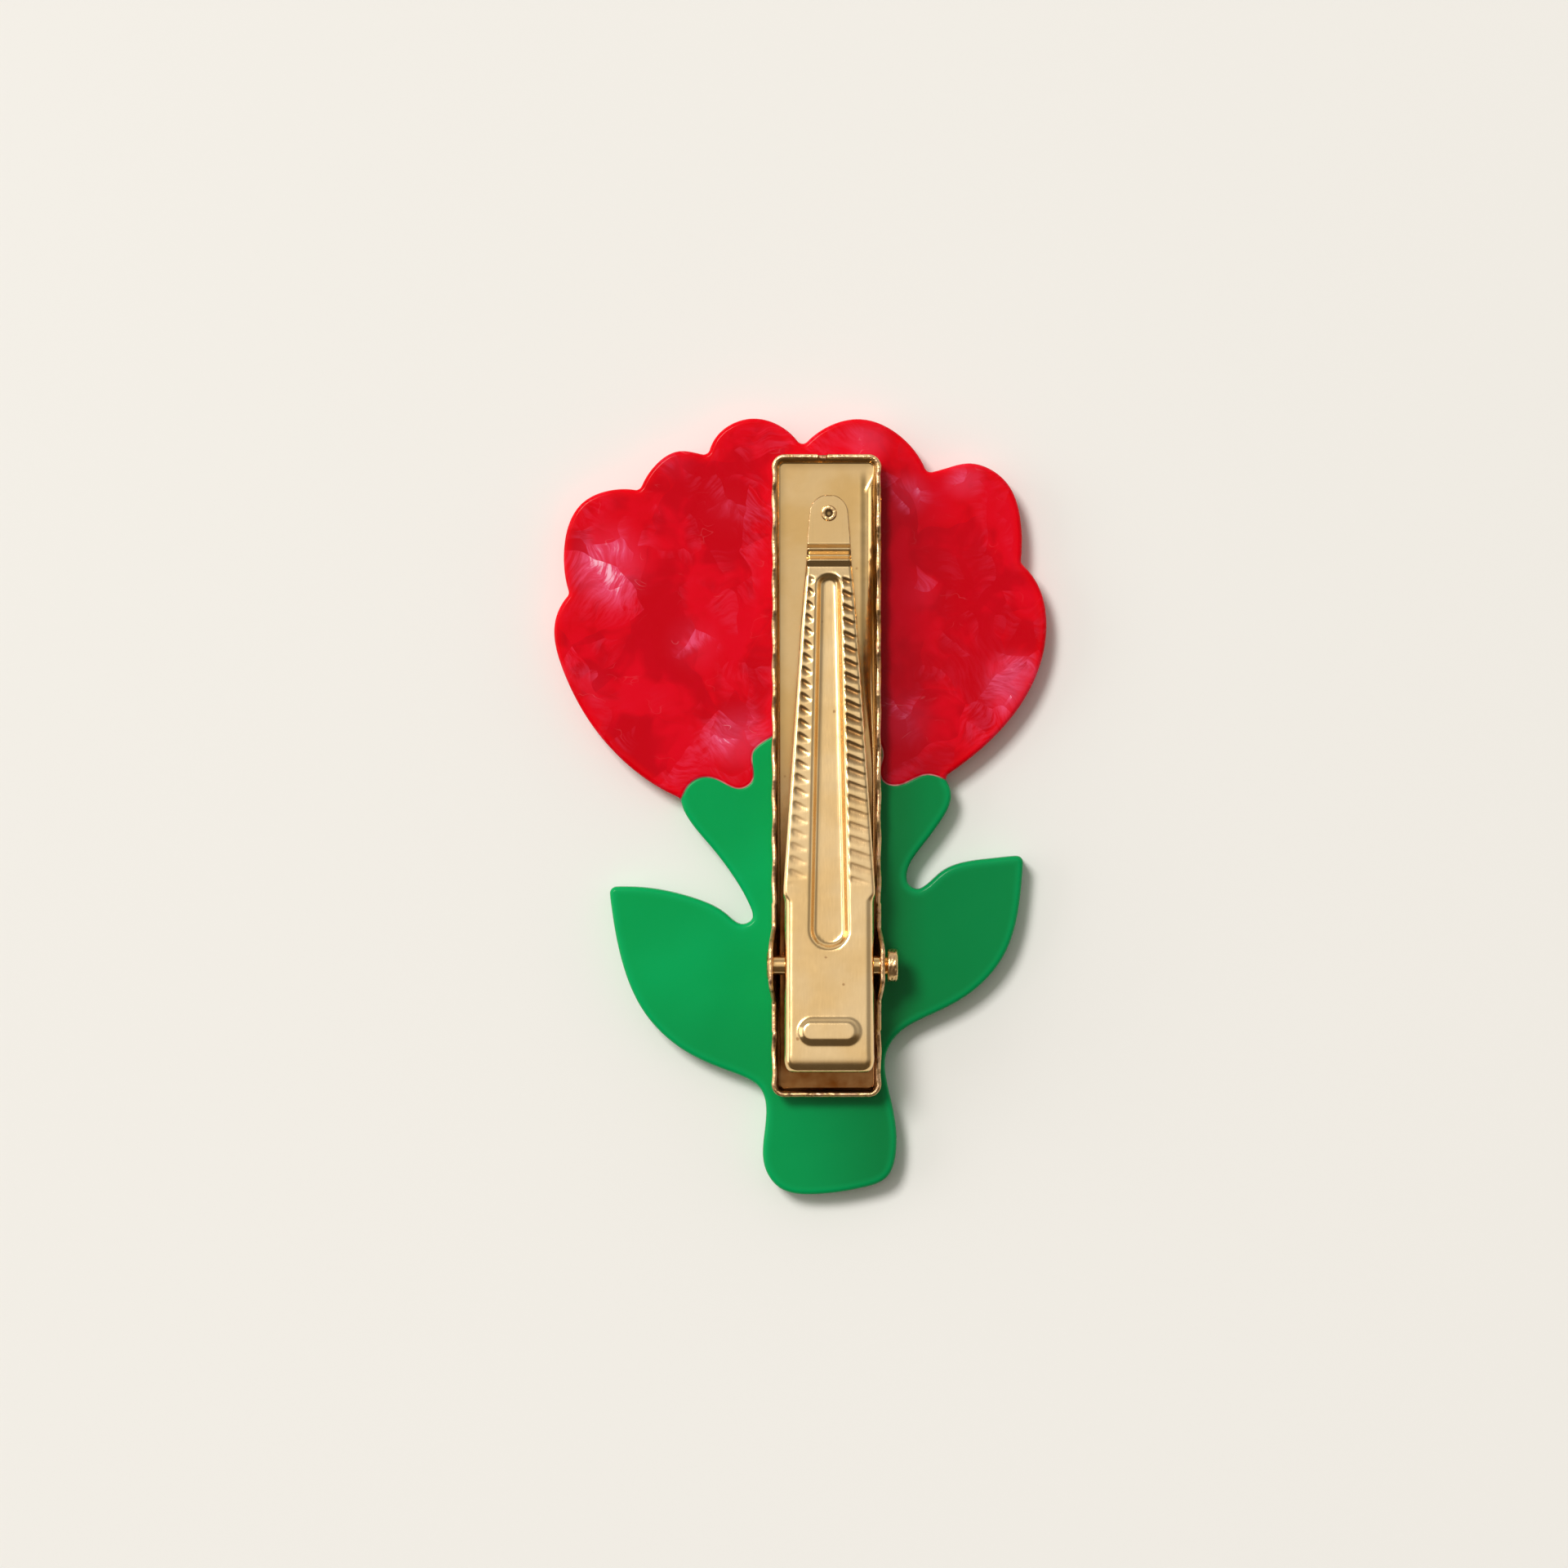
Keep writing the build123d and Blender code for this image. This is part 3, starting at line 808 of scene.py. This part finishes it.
def rimHeight(x, y, side):
    # side 0 and 2 are the long walls, 1 the jaw end and 3 the thumb end
    rim, ear, pitch, soft = tray["rim"], tray["ear"], tray["pitch"], tray["earRound"]
    height, sway = rim, 0.0
    if side in (0, 2):
        count = int((tray["length"] - 2 * tray["corner"]) / pitch)
        place = (y + (count - 1) * pitch / 2) / pitch
        nearest = min(max(round(place), 0), count - 1)
        off = (place - nearest) * pitch
        fromEar = abs(nearest * pitch - (count - 1) * pitch / 2 - earPlace)
        if fromEar > (tray["earBase"] + tray["dipLength"]) / 2:
            share = min(1.0, abs(off) / (tray["dipLength"] / 2))
            height -= tray["dip"] * (1 - share * share)
            sway = tray["sway"] * math.cos(2 * math.pi * off / pitch)
        slope = (ear - rim) / ((tray["earBase"] - tray["earTop"]) / 2)
        flank = rim + (tray["earBase"] / 2 - abs(y - earPlace)) * slope
        mix = min(1.0, max(0.0, 0.5 + 0.5 * (flank - ear) / soft))
        flank = flank * (1 - mix) + ear * mix - soft * mix * (1 - mix)
        height = max(height, flank)
    if side == 1 and abs(x + tray["notchShift"]) < tray["notch"] / 2:
        height -= tray["notchDepth"]
    burr = tray["rough"] * (noise.noise(Vector((x * 3.1, y * 3.1, 5.0))) - 0.6)
    return height + burr * (1.8 if side == 3 else 1.0), sway


trayMiddle = (trayLow + trayHigh) / 2
earPlace = pivot[1] - trayMiddle[1]


def makeTray():
    lean = math.radians(tray["lean"])
    flare, sheet = math.tan(lean), metalSheet
    half = np.array([tray["width"], tray["length"]]) / 2 - tray["corner"]
    rows = []
    for spot, away, side in roundedWay(np.zeros(2), half, tray["spacing"], 9):
        x, y = spot + away * tray["corner"]
        # the right-hand fold is softer towards the jaw
        soft = ease(earPlace + 14, earPlace + 24, y) * ease(23.6, 22.0, y)
        bend = tray["bend"] + tray["softBend"] * max(0.0, away[0]) * soft
        bendZ = sheet + bend
        bendAt = (tray["rim"] - bendZ) * flare + (sheet + bend) / math.cos(lean)
        turns = np.linspace(0, math.pi / 2 - lean, 6)
        row = [(bendAt - bend * math.sin(turn), bendZ - bend * math.cos(turn)) for turn in turns]
        height, sway = rimHeight(x, y, side)
        low = row[-1][1]
        for share in np.linspace(0, 1, 9)[1:]:
            z = low + (height - low) * share
            row.append(((tray["rim"] - z) * flare + sheet / math.cos(lean) - sway * share ** 2, z))
        rows.append([(*(spot + away * (tray["corner"] - inset)), z) for inset, z in row])
    count, columns = len(rows), len(rows[0])
    surface = [point for row in rows for point in row]
    index = numbered(count, columns)
    faces = skinRows(index + index[:1], False)
    ring = np.array([row[0][:2] for row in rows])
    across = np.arange(ring[:, 0].min(), ring[:, 0].max(), 0.6)
    along = np.arange(ring[:, 1].min(), ring[:, 1].max(), 0.6)
    grid = np.array([(x, y) for x in across for y in along])
    grid = grid[insideOf(grid, ring)]
    grid = grid[distanceTo(grid, ring) > 0.2]
    base = len(surface)
    for x, y in grid:
        edge = min(tray["width"] / 2 - abs(x), tray["length"] / 2 - abs(y))
        dip = 0.02 * (0.5 + 0.5 * wobble(x, y, 4.0, 1.7)) * ease(0.8, 2.2, edge)
        surface.append((x, y, sheet - dip))
    for face in fillLoop(ring, grid):
        faces.append([k * columns if k < count else base + k - count for k in face])
    points, faces, wear = thicken(surface, faces, sheet, 0.1)
    inside = [1.0] * len(surface) + [0.0] * (len(points) - len(surface))
    # the rim's notch is painted darker
    notch = abs(points[:, 0] + tray["notchShift"]) < tray["notch"] * 0.55
    notch &= (points[:, 1] > 24) & (points[:, 2] > 1.1)
    layers = {"wear": wear, "inside": inside, "hollowDarkening": notch * 1.0}
    points = points + np.array([trayMiddle[0], trayMiddle[1], trayLow[2]])
    points[:, 2] = np.maximum(points[:, 2], trayLow[2])
    piece = makePiece(
        "baseTray", points, faces, trayFinish, "base", "base_tray", layers
    )
    drill(piece, pivot, (1, 0, 0), tray["pinHole"], tray["width"] * 2)
    return piece


makeTray()


# hinge pin: turned shank, dented head at one end and peened over at the other
pin = {
    "radius": 0.75,
    "headRadius": 1.275,
    "headLength": 0.8,
    "peenRadius": 1.1,
    "peenLength": 0.2,
    "turns": 72,
    "dent": 0.045,
}


def makePin():
    low, high = boxOf("hinge_pin")
    left, right = low[0], high[0]
    shank, wide, peened = pin["radius"], pin["headRadius"], pin["peenRadius"]
    head, peenEnd = right - pin["headLength"], left + pin["peenLength"]
    profile = [(left, 0.0), (left, peened * 0.55), (left + 0.03, peened * 0.82)]
    for share, size in ((0.35, 0.95), (0.6, 1.0), (0.9, 0.99)):
        profile.append((left + pin["peenLength"] * share, peened * size))
    profile.append((peenEnd, shank + 0.02))
    profile += [(x, shank) for x in np.linspace(peenEnd + 0.05, head - 0.03, 24)]
    profile += [(head, shank + 0.03), (head, wide - 0.16)]
    quarter = [(1 - math.sin(a), 1 - math.cos(a)) for a in np.linspace(0, math.pi / 2, 7)]
    profile += [(head + 0.14 * b, wide - 0.14 * a) for a, b in quarter]
    profile += [(x, wide) for x in np.linspace(head + 0.2, right - 0.2, 8)]
    profile += [(right - 0.18 * a, wide - 0.18 * b) for a, b in quarter]
    profile += [(right, wide * 0.5), (right - 0.02, 0.0)]
    points, wear = [], []
    turns = pin["turns"]
    for x, radius in profile:
        for k in range(turns):
            angle = 2 * math.pi * k / turns
            size = radius
            if x > head + 0.05 and radius > 1.0:  # nips left by the heading tool
                bite = math.sin(angle * 9 + 2.0 * math.sin(x * 7)) * math.sin(x * 11)
                scuff = abs(noise.noise(Vector((x * 4, angle * 3, 1))))
                size -= pin["dent"] * max(0.0, bite) + 0.02 * scuff
            if x < left + 0.19:
                size -= 0.03 * (0.5 + 0.5 * noise.noise(Vector((angle * 2, 4, 2))))
            size = max(size, 0.0)
            points.append((x, pivot[1] + size * math.cos(angle), pivot[2] + size * math.sin(angle)))
            wear.append(0.6 if radius > 1.0 else 0.0)
    faces = skinRows(numbered(len(profile), turns), True, True)
    layers = {"wear": wear}
    piece = makePiece("hingePin", points, faces, pinFinish, "base", "hinge_pin", layers)
    work = bmesh.new()
    work.from_mesh(piece.data)
    bmesh.ops.remove_doubles(work, verts=work.verts, dist=1e-8)
    bmesh.ops.recalc_face_normals(work, faces=work.faces)
    work.to_mesh(piece.data)
    work.free()
    return piece


makePin()


# lever, drawn in its own frame: y runs from the pin to the tip, z is up from the sheet
lever = {
    "angle": 5.92,  # degrees that the sheet slopes down to its tip
    "rise": 1.8,
    "half": 3.448,
    "rear": -8.344,
    "bend": 0.6,
    "rearBend": 0.55,
    "rearBendLength": 1.1,
    "shoulder": 5.1,  # where the folded sides begin
    "jawHalf": 3.53,
    "bendPlace": 26.9,
    "bendHalf": 2.12,
    "ribHalf": 1.68,
    "tongueHalf": 1.475,
    "ribs": (  # side view of the tongue and its two ribs: back from the tip, up
        (-1, 0.0), (3.85, 0.0), (4.18, 0.52), (4.28, 0.54), (4.72, 0.24), (4.86, 0.3), (5.06, 0.8),
        (5.16, 0.82), (5.62, 0.5),
    ),
    "groove": 0.5,
    "grooveTip": (29.45, 1.0),
    "grooveRoot": (2.65, 1.55),
    "grooveSlope": 0.44,
    "teeth": (5.9, 30.4),
    "toothPitch": 1.06,
    "toothDepth": 0.15,
    "toothSlant": (0.5, 0.42),  # left and right
    "toothTurn": (0.14, 0.74),  # shares of the pitch where a dip starts and where it springs back
    # how strongly the tooth dips are painted with shade
    "toothShade": 1.3,
    "padPlace": -5.25,
    "padLength": 4.9,
    "padWidth": 2.2,
    "padHeight": 0.28,
    "eyelet": 0.3,
    "ring": 0.625,
    "ringHeight": 0.15,
    "lip": 0.24,
    "pinHole": 0.8,
}
leverX = trayMiddle[0] + leverShift


def toLever(y, z):
    angle = math.radians(lever["angle"])
    along, up = y - pivot[1], z - pivot[2]
    return along * math.cos(angle) - up * math.sin(angle), along * math.sin(angle) + up * math.cos(angle)


def fromLever(points):
    angle = math.radians(lever["angle"])
    points = np.asarray(points, float)
    y = points[:, 1] * math.cos(angle) + points[:, 2] * math.sin(angle)
    z = -points[:, 1] * math.sin(angle) + points[:, 2] * math.cos(angle)
    return np.column_stack([points[:, 0] + leverX, y + pivot[1], z + pivot[2]])


tongueTop = leverLow + metalSheet
sideView = [toLever(leverTip - back, tongueTop + up) for back, up in lever["ribs"]]
sideView += [(sideView[-1][0] - reach, lever["rise"]) for reach in (0.8, 30.0, 60.0)]
sideView = np.array(sideView[::-1])
tipPlace = toLever(leverTip, tongueTop)[0]
ribPlace = toLever(leverTip - lever["ribs"][1][0], tongueTop)[0]


def sheetTop(y):
    steps = np.linspace(-0.07, 0.07, 7)
    return sum(np.interp(y + step, sideView[:, 0], sideView[:, 1]) for step in steps) / 7


def foldedShare(y):
    # 0 along the jaw, 1 where the sides are folded down
    return ease(lever["shoulder"] + 0.45, lever["shoulder"] - 0.35, y)


def halfWidth(y):
    nose = tipPlace - lever["tongueHalf"]
    if y > nose:
        return math.sqrt(max(lever["tongueHalf"] ** 2 - (y - nose) ** 2, 0.0))
    rib = lever["ribHalf"]
    places = [lever["shoulder"] + 0.8, 12.0, lever["bendPlace"], ribPlace - 1.2, ribPlace + 0.6, nose]
    widths = [lever["jawHalf"], 3.13, lever["bendHalf"], rib + 0.03, rib - 0.05, lever["tongueHalf"]]
    jaw = np.interp(y, places, widths)
    folded = foldedShare(y)
    flare = 0.07 * ease(lever["rear"] + 1.6, lever["rear"] + 0.3, y)
    return jaw * (1 - folded) + (lever["half"] + flare) * folded


def grooveEdge(x, y):
    # distance past the groove's plan, less than 0 inside it
    (tipY, tipR), (rootY, rootR) = lever["grooveTip"], lever["grooveRoot"]
    length = tipY - rootY
    slope = (rootR - tipR) / length
    cosine = math.sqrt(1 - slope * slope)
    x, y = abs(x), y - rootY
    along = -slope * x + cosine * y
    if along < 0:
        return math.hypot(x, y) - rootR
    if along > cosine * length:
        return math.hypot(x, y - length) - tipR
    return x * cosine + y * slope - rootR


def toothDip(x, y, inner, outer):
    # pressed teeth: each dip is steep on its tip side and eases out towards the pin
    first, last = lever["teeth"]
    across = (abs(x) - inner) / max(outer - inner, 0.05)
    if not 0 < across < 1.25 or not first < y < last:
        return 0.0
    fade = 0.38 + 0.62 * ease(9.0, 20.0, y)
    slant = lever["toothSlant"][0 if x < 0 else 1]
    turn = (y + slant * x * (0.6 + 0.4 * fade)) / lever["toothPitch"] % 1.0
    start, back = lever["toothTurn"]
    dip = (1 - turn) / (1 - back) if turn > back else max(0.0, (turn - start) / (back - start))
    dip = dip * dip * (3 - 2 * dip)
    if x < 0:
        reach = ease(0.05, 0.7, across) * ease(1.0, 0.84, across)
    else:
        reach = ease(0.02, 0.14, across) * (1 - 0.35 * ease(0.5, 1.1, across))
    ends = ease(first, first + 0.8, y) * ease(last, last - 0.6, y)
    depth = lever["toothDepth"] * (0.85 if x < 0 else 1.0)
    return depth * fade * ends * max(0.0, dip - 0.75 * (1 - reach)) * ease(0.0, 0.25, reach)


def padRise(x, y):
    run = (lever["padLength"] - lever["padWidth"]) / 2
    far = math.hypot(max(abs(x) - run, 0.0), y - lever["padPlace"])
    return lever["padHeight"] * ramp(lever["padWidth"] / 2 - far, 0.46, 0.1)


def leverRows():
    rear = lever["rear"] + lever["rearBendLength"]
    nose = tipPlace - lever["tongueHalf"]
    spans = [
        (rear, -6.7, 0.2), (-6.7, -3.8, 0.1), (-3.8, 0.6, 0.22), (0.6, 4.2, 0.14), (4.2, 6.0, 0.09),
        (6.0, 30.6, 0.1), (30.6, ribPlace + 0.2, 0.055), (ribPlace + 0.2, nose, 0.12),
    ]
    rows = []
    for start, end, step in spans:
        rows += list(np.linspace(start, end, round((end - start) / step), endpoint=False))
    rows += [nose + lever["tongueHalf"] * math.sin(math.radians(a)) for a in range(0, 82, 6)]
    return rows


def acrossTop(half, y):
    # places across the flat of the sheet, packed round the groove's edges
    (tipY, tipR), (rootY, rootR) = lever["grooveTip"], lever["grooveRoot"]
    outer = np.interp(y, [rootY, tipY], [rootR, tipR])
    outer = min(outer, half * 0.72)
    floor = outer * 0.58
    spots = list(np.linspace(0, floor, 4)[:-1]) + list(np.linspace(floor, outer * 1.06, 8)[:-1])
    return spots + list(np.linspace(outer * 1.06, half, 13)), outer


def sectionAt(y):
    # one row of the lever's top skin, from its left edge over the top to its right edge
    half = halfWidth(y)
    folded = foldedShare(y)
    edge = ease(ribPlace + 0.3, ribPlace - 1.5, y)
    bend = (0.1 + 0.2 * edge) * (1 - folded) + lever["bend"] * folded
    bend = min(bend, half * 0.4)
    angle = math.radians((30 + 28 * edge) * (1 - folded) + 90 * folded)
    flat = half - bend * math.sin(angle)
    spots, groove = acrossTop(flat, y)
    base = sheetTop(y)
    flangeEdge = np.interp(
        y,
        [lever["rear"], -1.45, -0.72, 0.72, 4.8, 5.6],
        [lever["rise"] - 1.6, -1.16, -1.45, -1.45, 1.0, lever["rise"] - 0.35],
    )
    run = max(0.03, (base - bend * (1 - math.cos(angle))) - flangeEdge) * folded + 0.03 * (1 - folded)
    halves = []
    for side in (-1, 1):
        row = []
        for spot in spots:
            x = side * spot
            z = base - lever["groove"] * ramp(-grooveEdge(x, y), lever["grooveSlope"], 0.11)
            dip = toothDip(x, y, groove + 0.02, flat)
            row.append((x, z + padRise(x, y) - dip, dip))
        drop = row[-1][1] - base
        for k in range(1, 7):
            turned = angle * k / 6
            keep = 1 - k / 6 * folded
            z = base + drop * keep - bend * (1 - math.cos(turned))
            row.append((side * (flat + bend * math.sin(turned)), z, 0.0))
        endX, endZ, _ = row[-1]
        for k in range(1, 6):
            down = run * k / 5
            row.append((endX + side * math.cos(angle) * down, endZ - math.sin(angle) * down, 0.0))
        halves.append(row)
    return halves[0][::-1] + halves[1][1:]


def makeLever():
    rows = []
    rear, length, top = lever["rear"], lever["rearBendLength"], lever["rise"]
    first = sectionAt(rear + length)
    for k in range(10):
        swing = math.pi / 2 * (1 - k / 10)
        inset = lever["rearBend"] * (1 - math.cos(swing))
        y = rear + length * (1 - math.sin(swing))
        row = []
        reach = first[-1][0]
        for x, z, _ in first:
            # sides and top both close in round the thumb end
            flat = abs(x) < reach - lever["bend"]
            shrunk = x * (reach - inset) / reach if flat else x - math.copysign(inset, x)
            lower = first[0][1]
            share = (z - lower) / (top - lower)
            height = lower + (top - inset - lower) * share if z < top - lever["bend"] else z - inset
            row.append((shrunk, y, height, 0.0))
        rows.append(row)
    for y in leverRows():
        rows.append([(x, y, z, dip) for x, z, dip in sectionAt(y)])
    columns = len(rows[0])
    surface = [point[:3] for row in rows for point in row]
    # painted shade in the tooth dips, strongest where they dip deepest
    hollowDarkening = [min(1.0, point[3] / lever["toothDepth"] * lever["toothShade"]) for row in rows for point in row]
    faces = skinRows(numbered(len(rows), columns), False)
    # end wall under the thumb
    ends = np.array([(x, z) for x, _, z, _ in rows[0]])[::-1]
    lowLine = np.linspace(ends[-1], ends[0], 26)[1:-1]
    loop = np.concatenate([ends, lowLine])
    across = np.arange(loop[:, 0].min() + 0.3, loop[:, 0].max() - 0.2, 0.3)
    along = np.arange(loop[:, 1].min() + 0.2, loop[:, 1].max() - 0.1, 0.25)
    grid = np.array([(x, z) for x in across for z in along])
    base = len(surface)
    surface += [(x, rear, z) for x, z in [*lowLine, *grid]]
    for face in fillLoop(loop, grid):
        faces.append([columns - 1 - k if k < columns else base + k - columns for k in face])
    points, faces, wear = thicken(surface, faces, metalSheet, 0.07)
    points = fromLever(points)
    ringPoints, ringFaces = eyeletRing()
    start = len(points)
    points = np.concatenate([points, ringPoints])
    faces += [[k + start for k in face] for face in ringFaces]
    wear = list(wear) + [0.4] * len(ringPoints)
    hollowDarkening += [0.0] * (len(points) - len(hollowDarkening))
    layers = {"wear": wear, "hollowDarkening": hollowDarkening}
    piece = makePiece("leverArm", points, faces, leverFinish, "lever", "lever", layers)
    drill(piece, (leverX, leverTip - eyeletInset, tongueTop), (0, 0, 1), lever["eyelet"], 3.0)
    drill(piece, pivot, (1, 0, 0), lever["pinHole"], 12.0)
    return piece


def eyeletRing():
    # rolled collar round the hole in the tongue
    turns, points = 48, []
    middle = (lever["eyelet"] - 0.04 + lever["ring"]) / 2
    wide = (lever["ring"] - lever["eyelet"] + 0.04) / 2
    section = [(math.cos(a), math.sin(a)) for a in np.linspace(0, 2 * math.pi, 14, endpoint=False)]
    for k in range(turns):
        angle = 2 * math.pi * k / turns
        worn = 1 + 0.12 * noise.noise(Vector((math.cos(angle) * 2, math.sin(angle) * 2, 6)))
        for across, up in section:
            radius = middle + wide * across
            height = lever["lip"] * up * worn if up > 0 else 0.2 * up
            height = min(height, lever["ringHeight"] * worn)
            points.append((
                leverX + radius * math.cos(angle),
                leverTip - eyeletInset + radius * math.sin(angle),
                tongueTop + height,
            ))
    index = numbered(turns, len(section))
    return np.array(points), skinRows(index + index[:1], True, True)


makeLever()


# torsion spring wound round the pin, one leg on the tray and one under the lever
spring = {
    "wire": 0.45,
    "gap": 0.1,
    "turns": 4,
    "pitch": 0.5,
    "leg": 6.0,
    "legGap": 0.02,
    "sides": 14,
}


def makeSpring():
    radius = pin["radius"] + spring["gap"] + spring["wire"] / 2
    reach = math.hypot(spring["leg"], radius)
    lean = math.atan2(radius, spring["leg"])
    floorRoom = pivot[2] - (trayLow[2] + metalSheet) - spring["legGap"] - spring["wire"] / 2
    leverRoom = lever["rise"] - metalSheet - spring["legGap"] - spring["wire"] / 2
    lowLeg = math.asin(floorRoom / reach) - lean
    highLeg = math.asin(leverRoom / reach) - lean + math.radians(lever["angle"])
    wound = 2 * math.pi * spring["turns"] + math.pi - lowLeg - highLeg
    length = spring["pitch"] * wound / (2 * math.pi)
    path = []
    for turned in np.linspace(0, wound, 220):
        along = spring["pitch"] * turned / (2 * math.pi)
        path.append((along, radius * math.sin(turned), -radius * math.cos(turned)))
    path = np.array(path)
    first, last = path[1] - path[0], path[-1] - path[-2]
    reach = np.linspace(0.15, spring["leg"], 24)[:, None]
    before = path[0] - first / np.linalg.norm(first) * reach[::-1]
    after = path[-1] + last / np.linalg.norm(last) * reach
    path = np.concatenate([before, path, after])
    cosine, sine = math.cos(lowLeg), math.sin(lowLeg)
    turn = np.array([[1, 0, 0], [0, cosine, -sine], [0, sine, cosine]])
    path = path @ turn.T + np.array([leverX - length / 2, pivot[1], pivot[2]])
    points = []
    sides, side = spring["sides"], np.array([1.0, 0.0, 0.0])
    for k in range(len(path)):
        way = path[min(k + 1, len(path) - 1)] - path[max(k - 1, 0)]
        way /= np.linalg.norm(way)
        side = side - way * side.dot(way)
        side /= np.linalg.norm(side)
        up = np.cross(way, side)
        thin = 0.86 if k in (0, len(path) - 1) else 1.0
        for j in range(sides):
            angle = 2 * math.pi * j / sides
            out = side * math.cos(angle) + up * math.sin(angle)
            points.append(path[k] + out * spring["wire"] / 2 * thin)
    rows = numbered(len(path), sides)
    faces = skinRows(rows) + [rows[0][::-1], rows[-1]]
    piece = makePiece("torsionSpring", points, faces, wireFinish, None, "torsion_spring")
    # the coil's two ends on the pin's axis, worked out but not used
    start = (leverX - length / 2 + spring["wire"] / 2, pivot[1], pivot[2])
    end = (leverX + length / 2 - spring["wire"] / 2, pivot[1], pivot[2])
    [v * mm for v in start]
    [v * mm for v in end]
    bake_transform(piece)
    return piece


makeSpring()


# table, light and camera
studio = {
    "floorHalf": 4.0,
    "floorDrop": 0.00002,
    "cameraAim": (-0.0013, 0.00175),
    "viewWidth": 0.1224,
    "lens": 132.0,
    "sensor": 36.0,
    "key": ((-1.1, 1.25, 2.6), (0.85, 0.85), 66.0, (1.0, 0.98, 0.95)),  # place, size, watts, colour
    "window": ((-2.4, 0.1, 1.1), (2.0, 1.2), 11.0, (1.0, 0.99, 0.98)),
    "glowFrom": (-0.25, 0.25, 0.935),  # middle of the bright ceiling
    "glowSpan": (0.79, 0.97),  # where its edge fades, as the cosine of the angle away from it
    "glow": 0.78,
    "walls": 0.74,
    "side": (0.1, 0.24),  # dim end behind the thumb, and what the other end adds to it
    "warm": (1.0, 0.8, 0.56, 1),
    "cool": (1.0, 0.975, 0.94, 1),
}


def makeFloor():
    finish, start = newFinish("paleTable")
    place = start.node("TexCoord", output=3)
    tone = between(cloud(place, 3.0, 3.0), 0.3, 0.7)
    colour = blendColour(tone, tint(239, 238, 234), tint(241, 240, 236))
    closeFinish(start, {"Base Color": colour, "Roughness": 0.85, "Specular IOR Level": 0.1})
    size = studio["floorHalf"]
    mesh = bpy.data.meshes.new("table")
    corners = [(-size, -size, 0), (size, -size, 0), (size, size, 0), (-size, size, 0)]
    mesh.from_pydata(corners, [], [(0, 1, 2, 3)])
    mesh.materials.append(finish)
    table = addObject("table", mesh)
    table.location = (0, 0, -studio["floorDrop"])
    table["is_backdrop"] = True


def addPanel(name):
    spot, size, power, colour = studio[name]
    light = bpy.data.lights.new(name, "AREA")
    light.shape = "RECTANGLE"
    light.size, light.size_y = size
    light.energy = power
    light.color = colour
    panel = addObject(name, light)
    panel.location = spot
    panel.rotation_euler = (-Vector(spot)).to_track_quat("-Z", "Y").to_euler()


def makeWorld():
    # soft room: a bright patch of ceiling up and to the left, pale walls except behind the thumb end
    room = bpy.data.worlds.new("room")
    room.use_nodes = True
    room.node_tree.nodes.clear()
    start = Shade(room.node_tree)
    way = start.node("TexCoord")
    facing = way.vector("DOT_PRODUCT", studio["glowFrom"], 1)
    above = between(facing, *studio["glowSpan"])
    walls = between(axisOf(way, 2), 0.48, 0.24) * between(axisOf(way, 1), -0.7, -0.15)
    front = between(axisOf(way, 1), -0.4, 0.05)
    side = studio["side"][0] + front * studio["side"][1]
    glow = (side + above * (studio["glow"] - side)) * (1 - walls) + walls * studio["walls"]
    colour = blendColour(front, studio["warm"], studio["cool"])
    shine = start.node("Background", None, {"Color": colour, "Strength": glow})
    start.node("OutputWorld", None, {"Surface": shine})
    bpy.context.scene.world = room


def makeCamera():
    lens = bpy.data.cameras.new("camera")
    lens.lens = studio["lens"]
    lens.sensor_width = studio["sensor"]
    lens.clip_start = 0.01
    lens.clip_end = 50.0
    camera = addObject("camera", lens)
    high = boxOf("flower_petals")[1][2] * mm
    away = studio["viewWidth"] * studio["lens"] / studio["sensor"]
    camera.location = (*studio["cameraAim"], high + away)
    bpy.context.scene.camera = camera


makeFloor()
addPanel("key")
addPanel("window")
makeWorld()
makeCamera()
bpy.context.scene.view_settings.view_transform = "Standard"
print("studio ready")

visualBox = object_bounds()
for label, box in (("CAD box", cadBox), ("visual box", visualBox)):
    print(label, [round(value / mm, 2) for corner in box for value in corner])
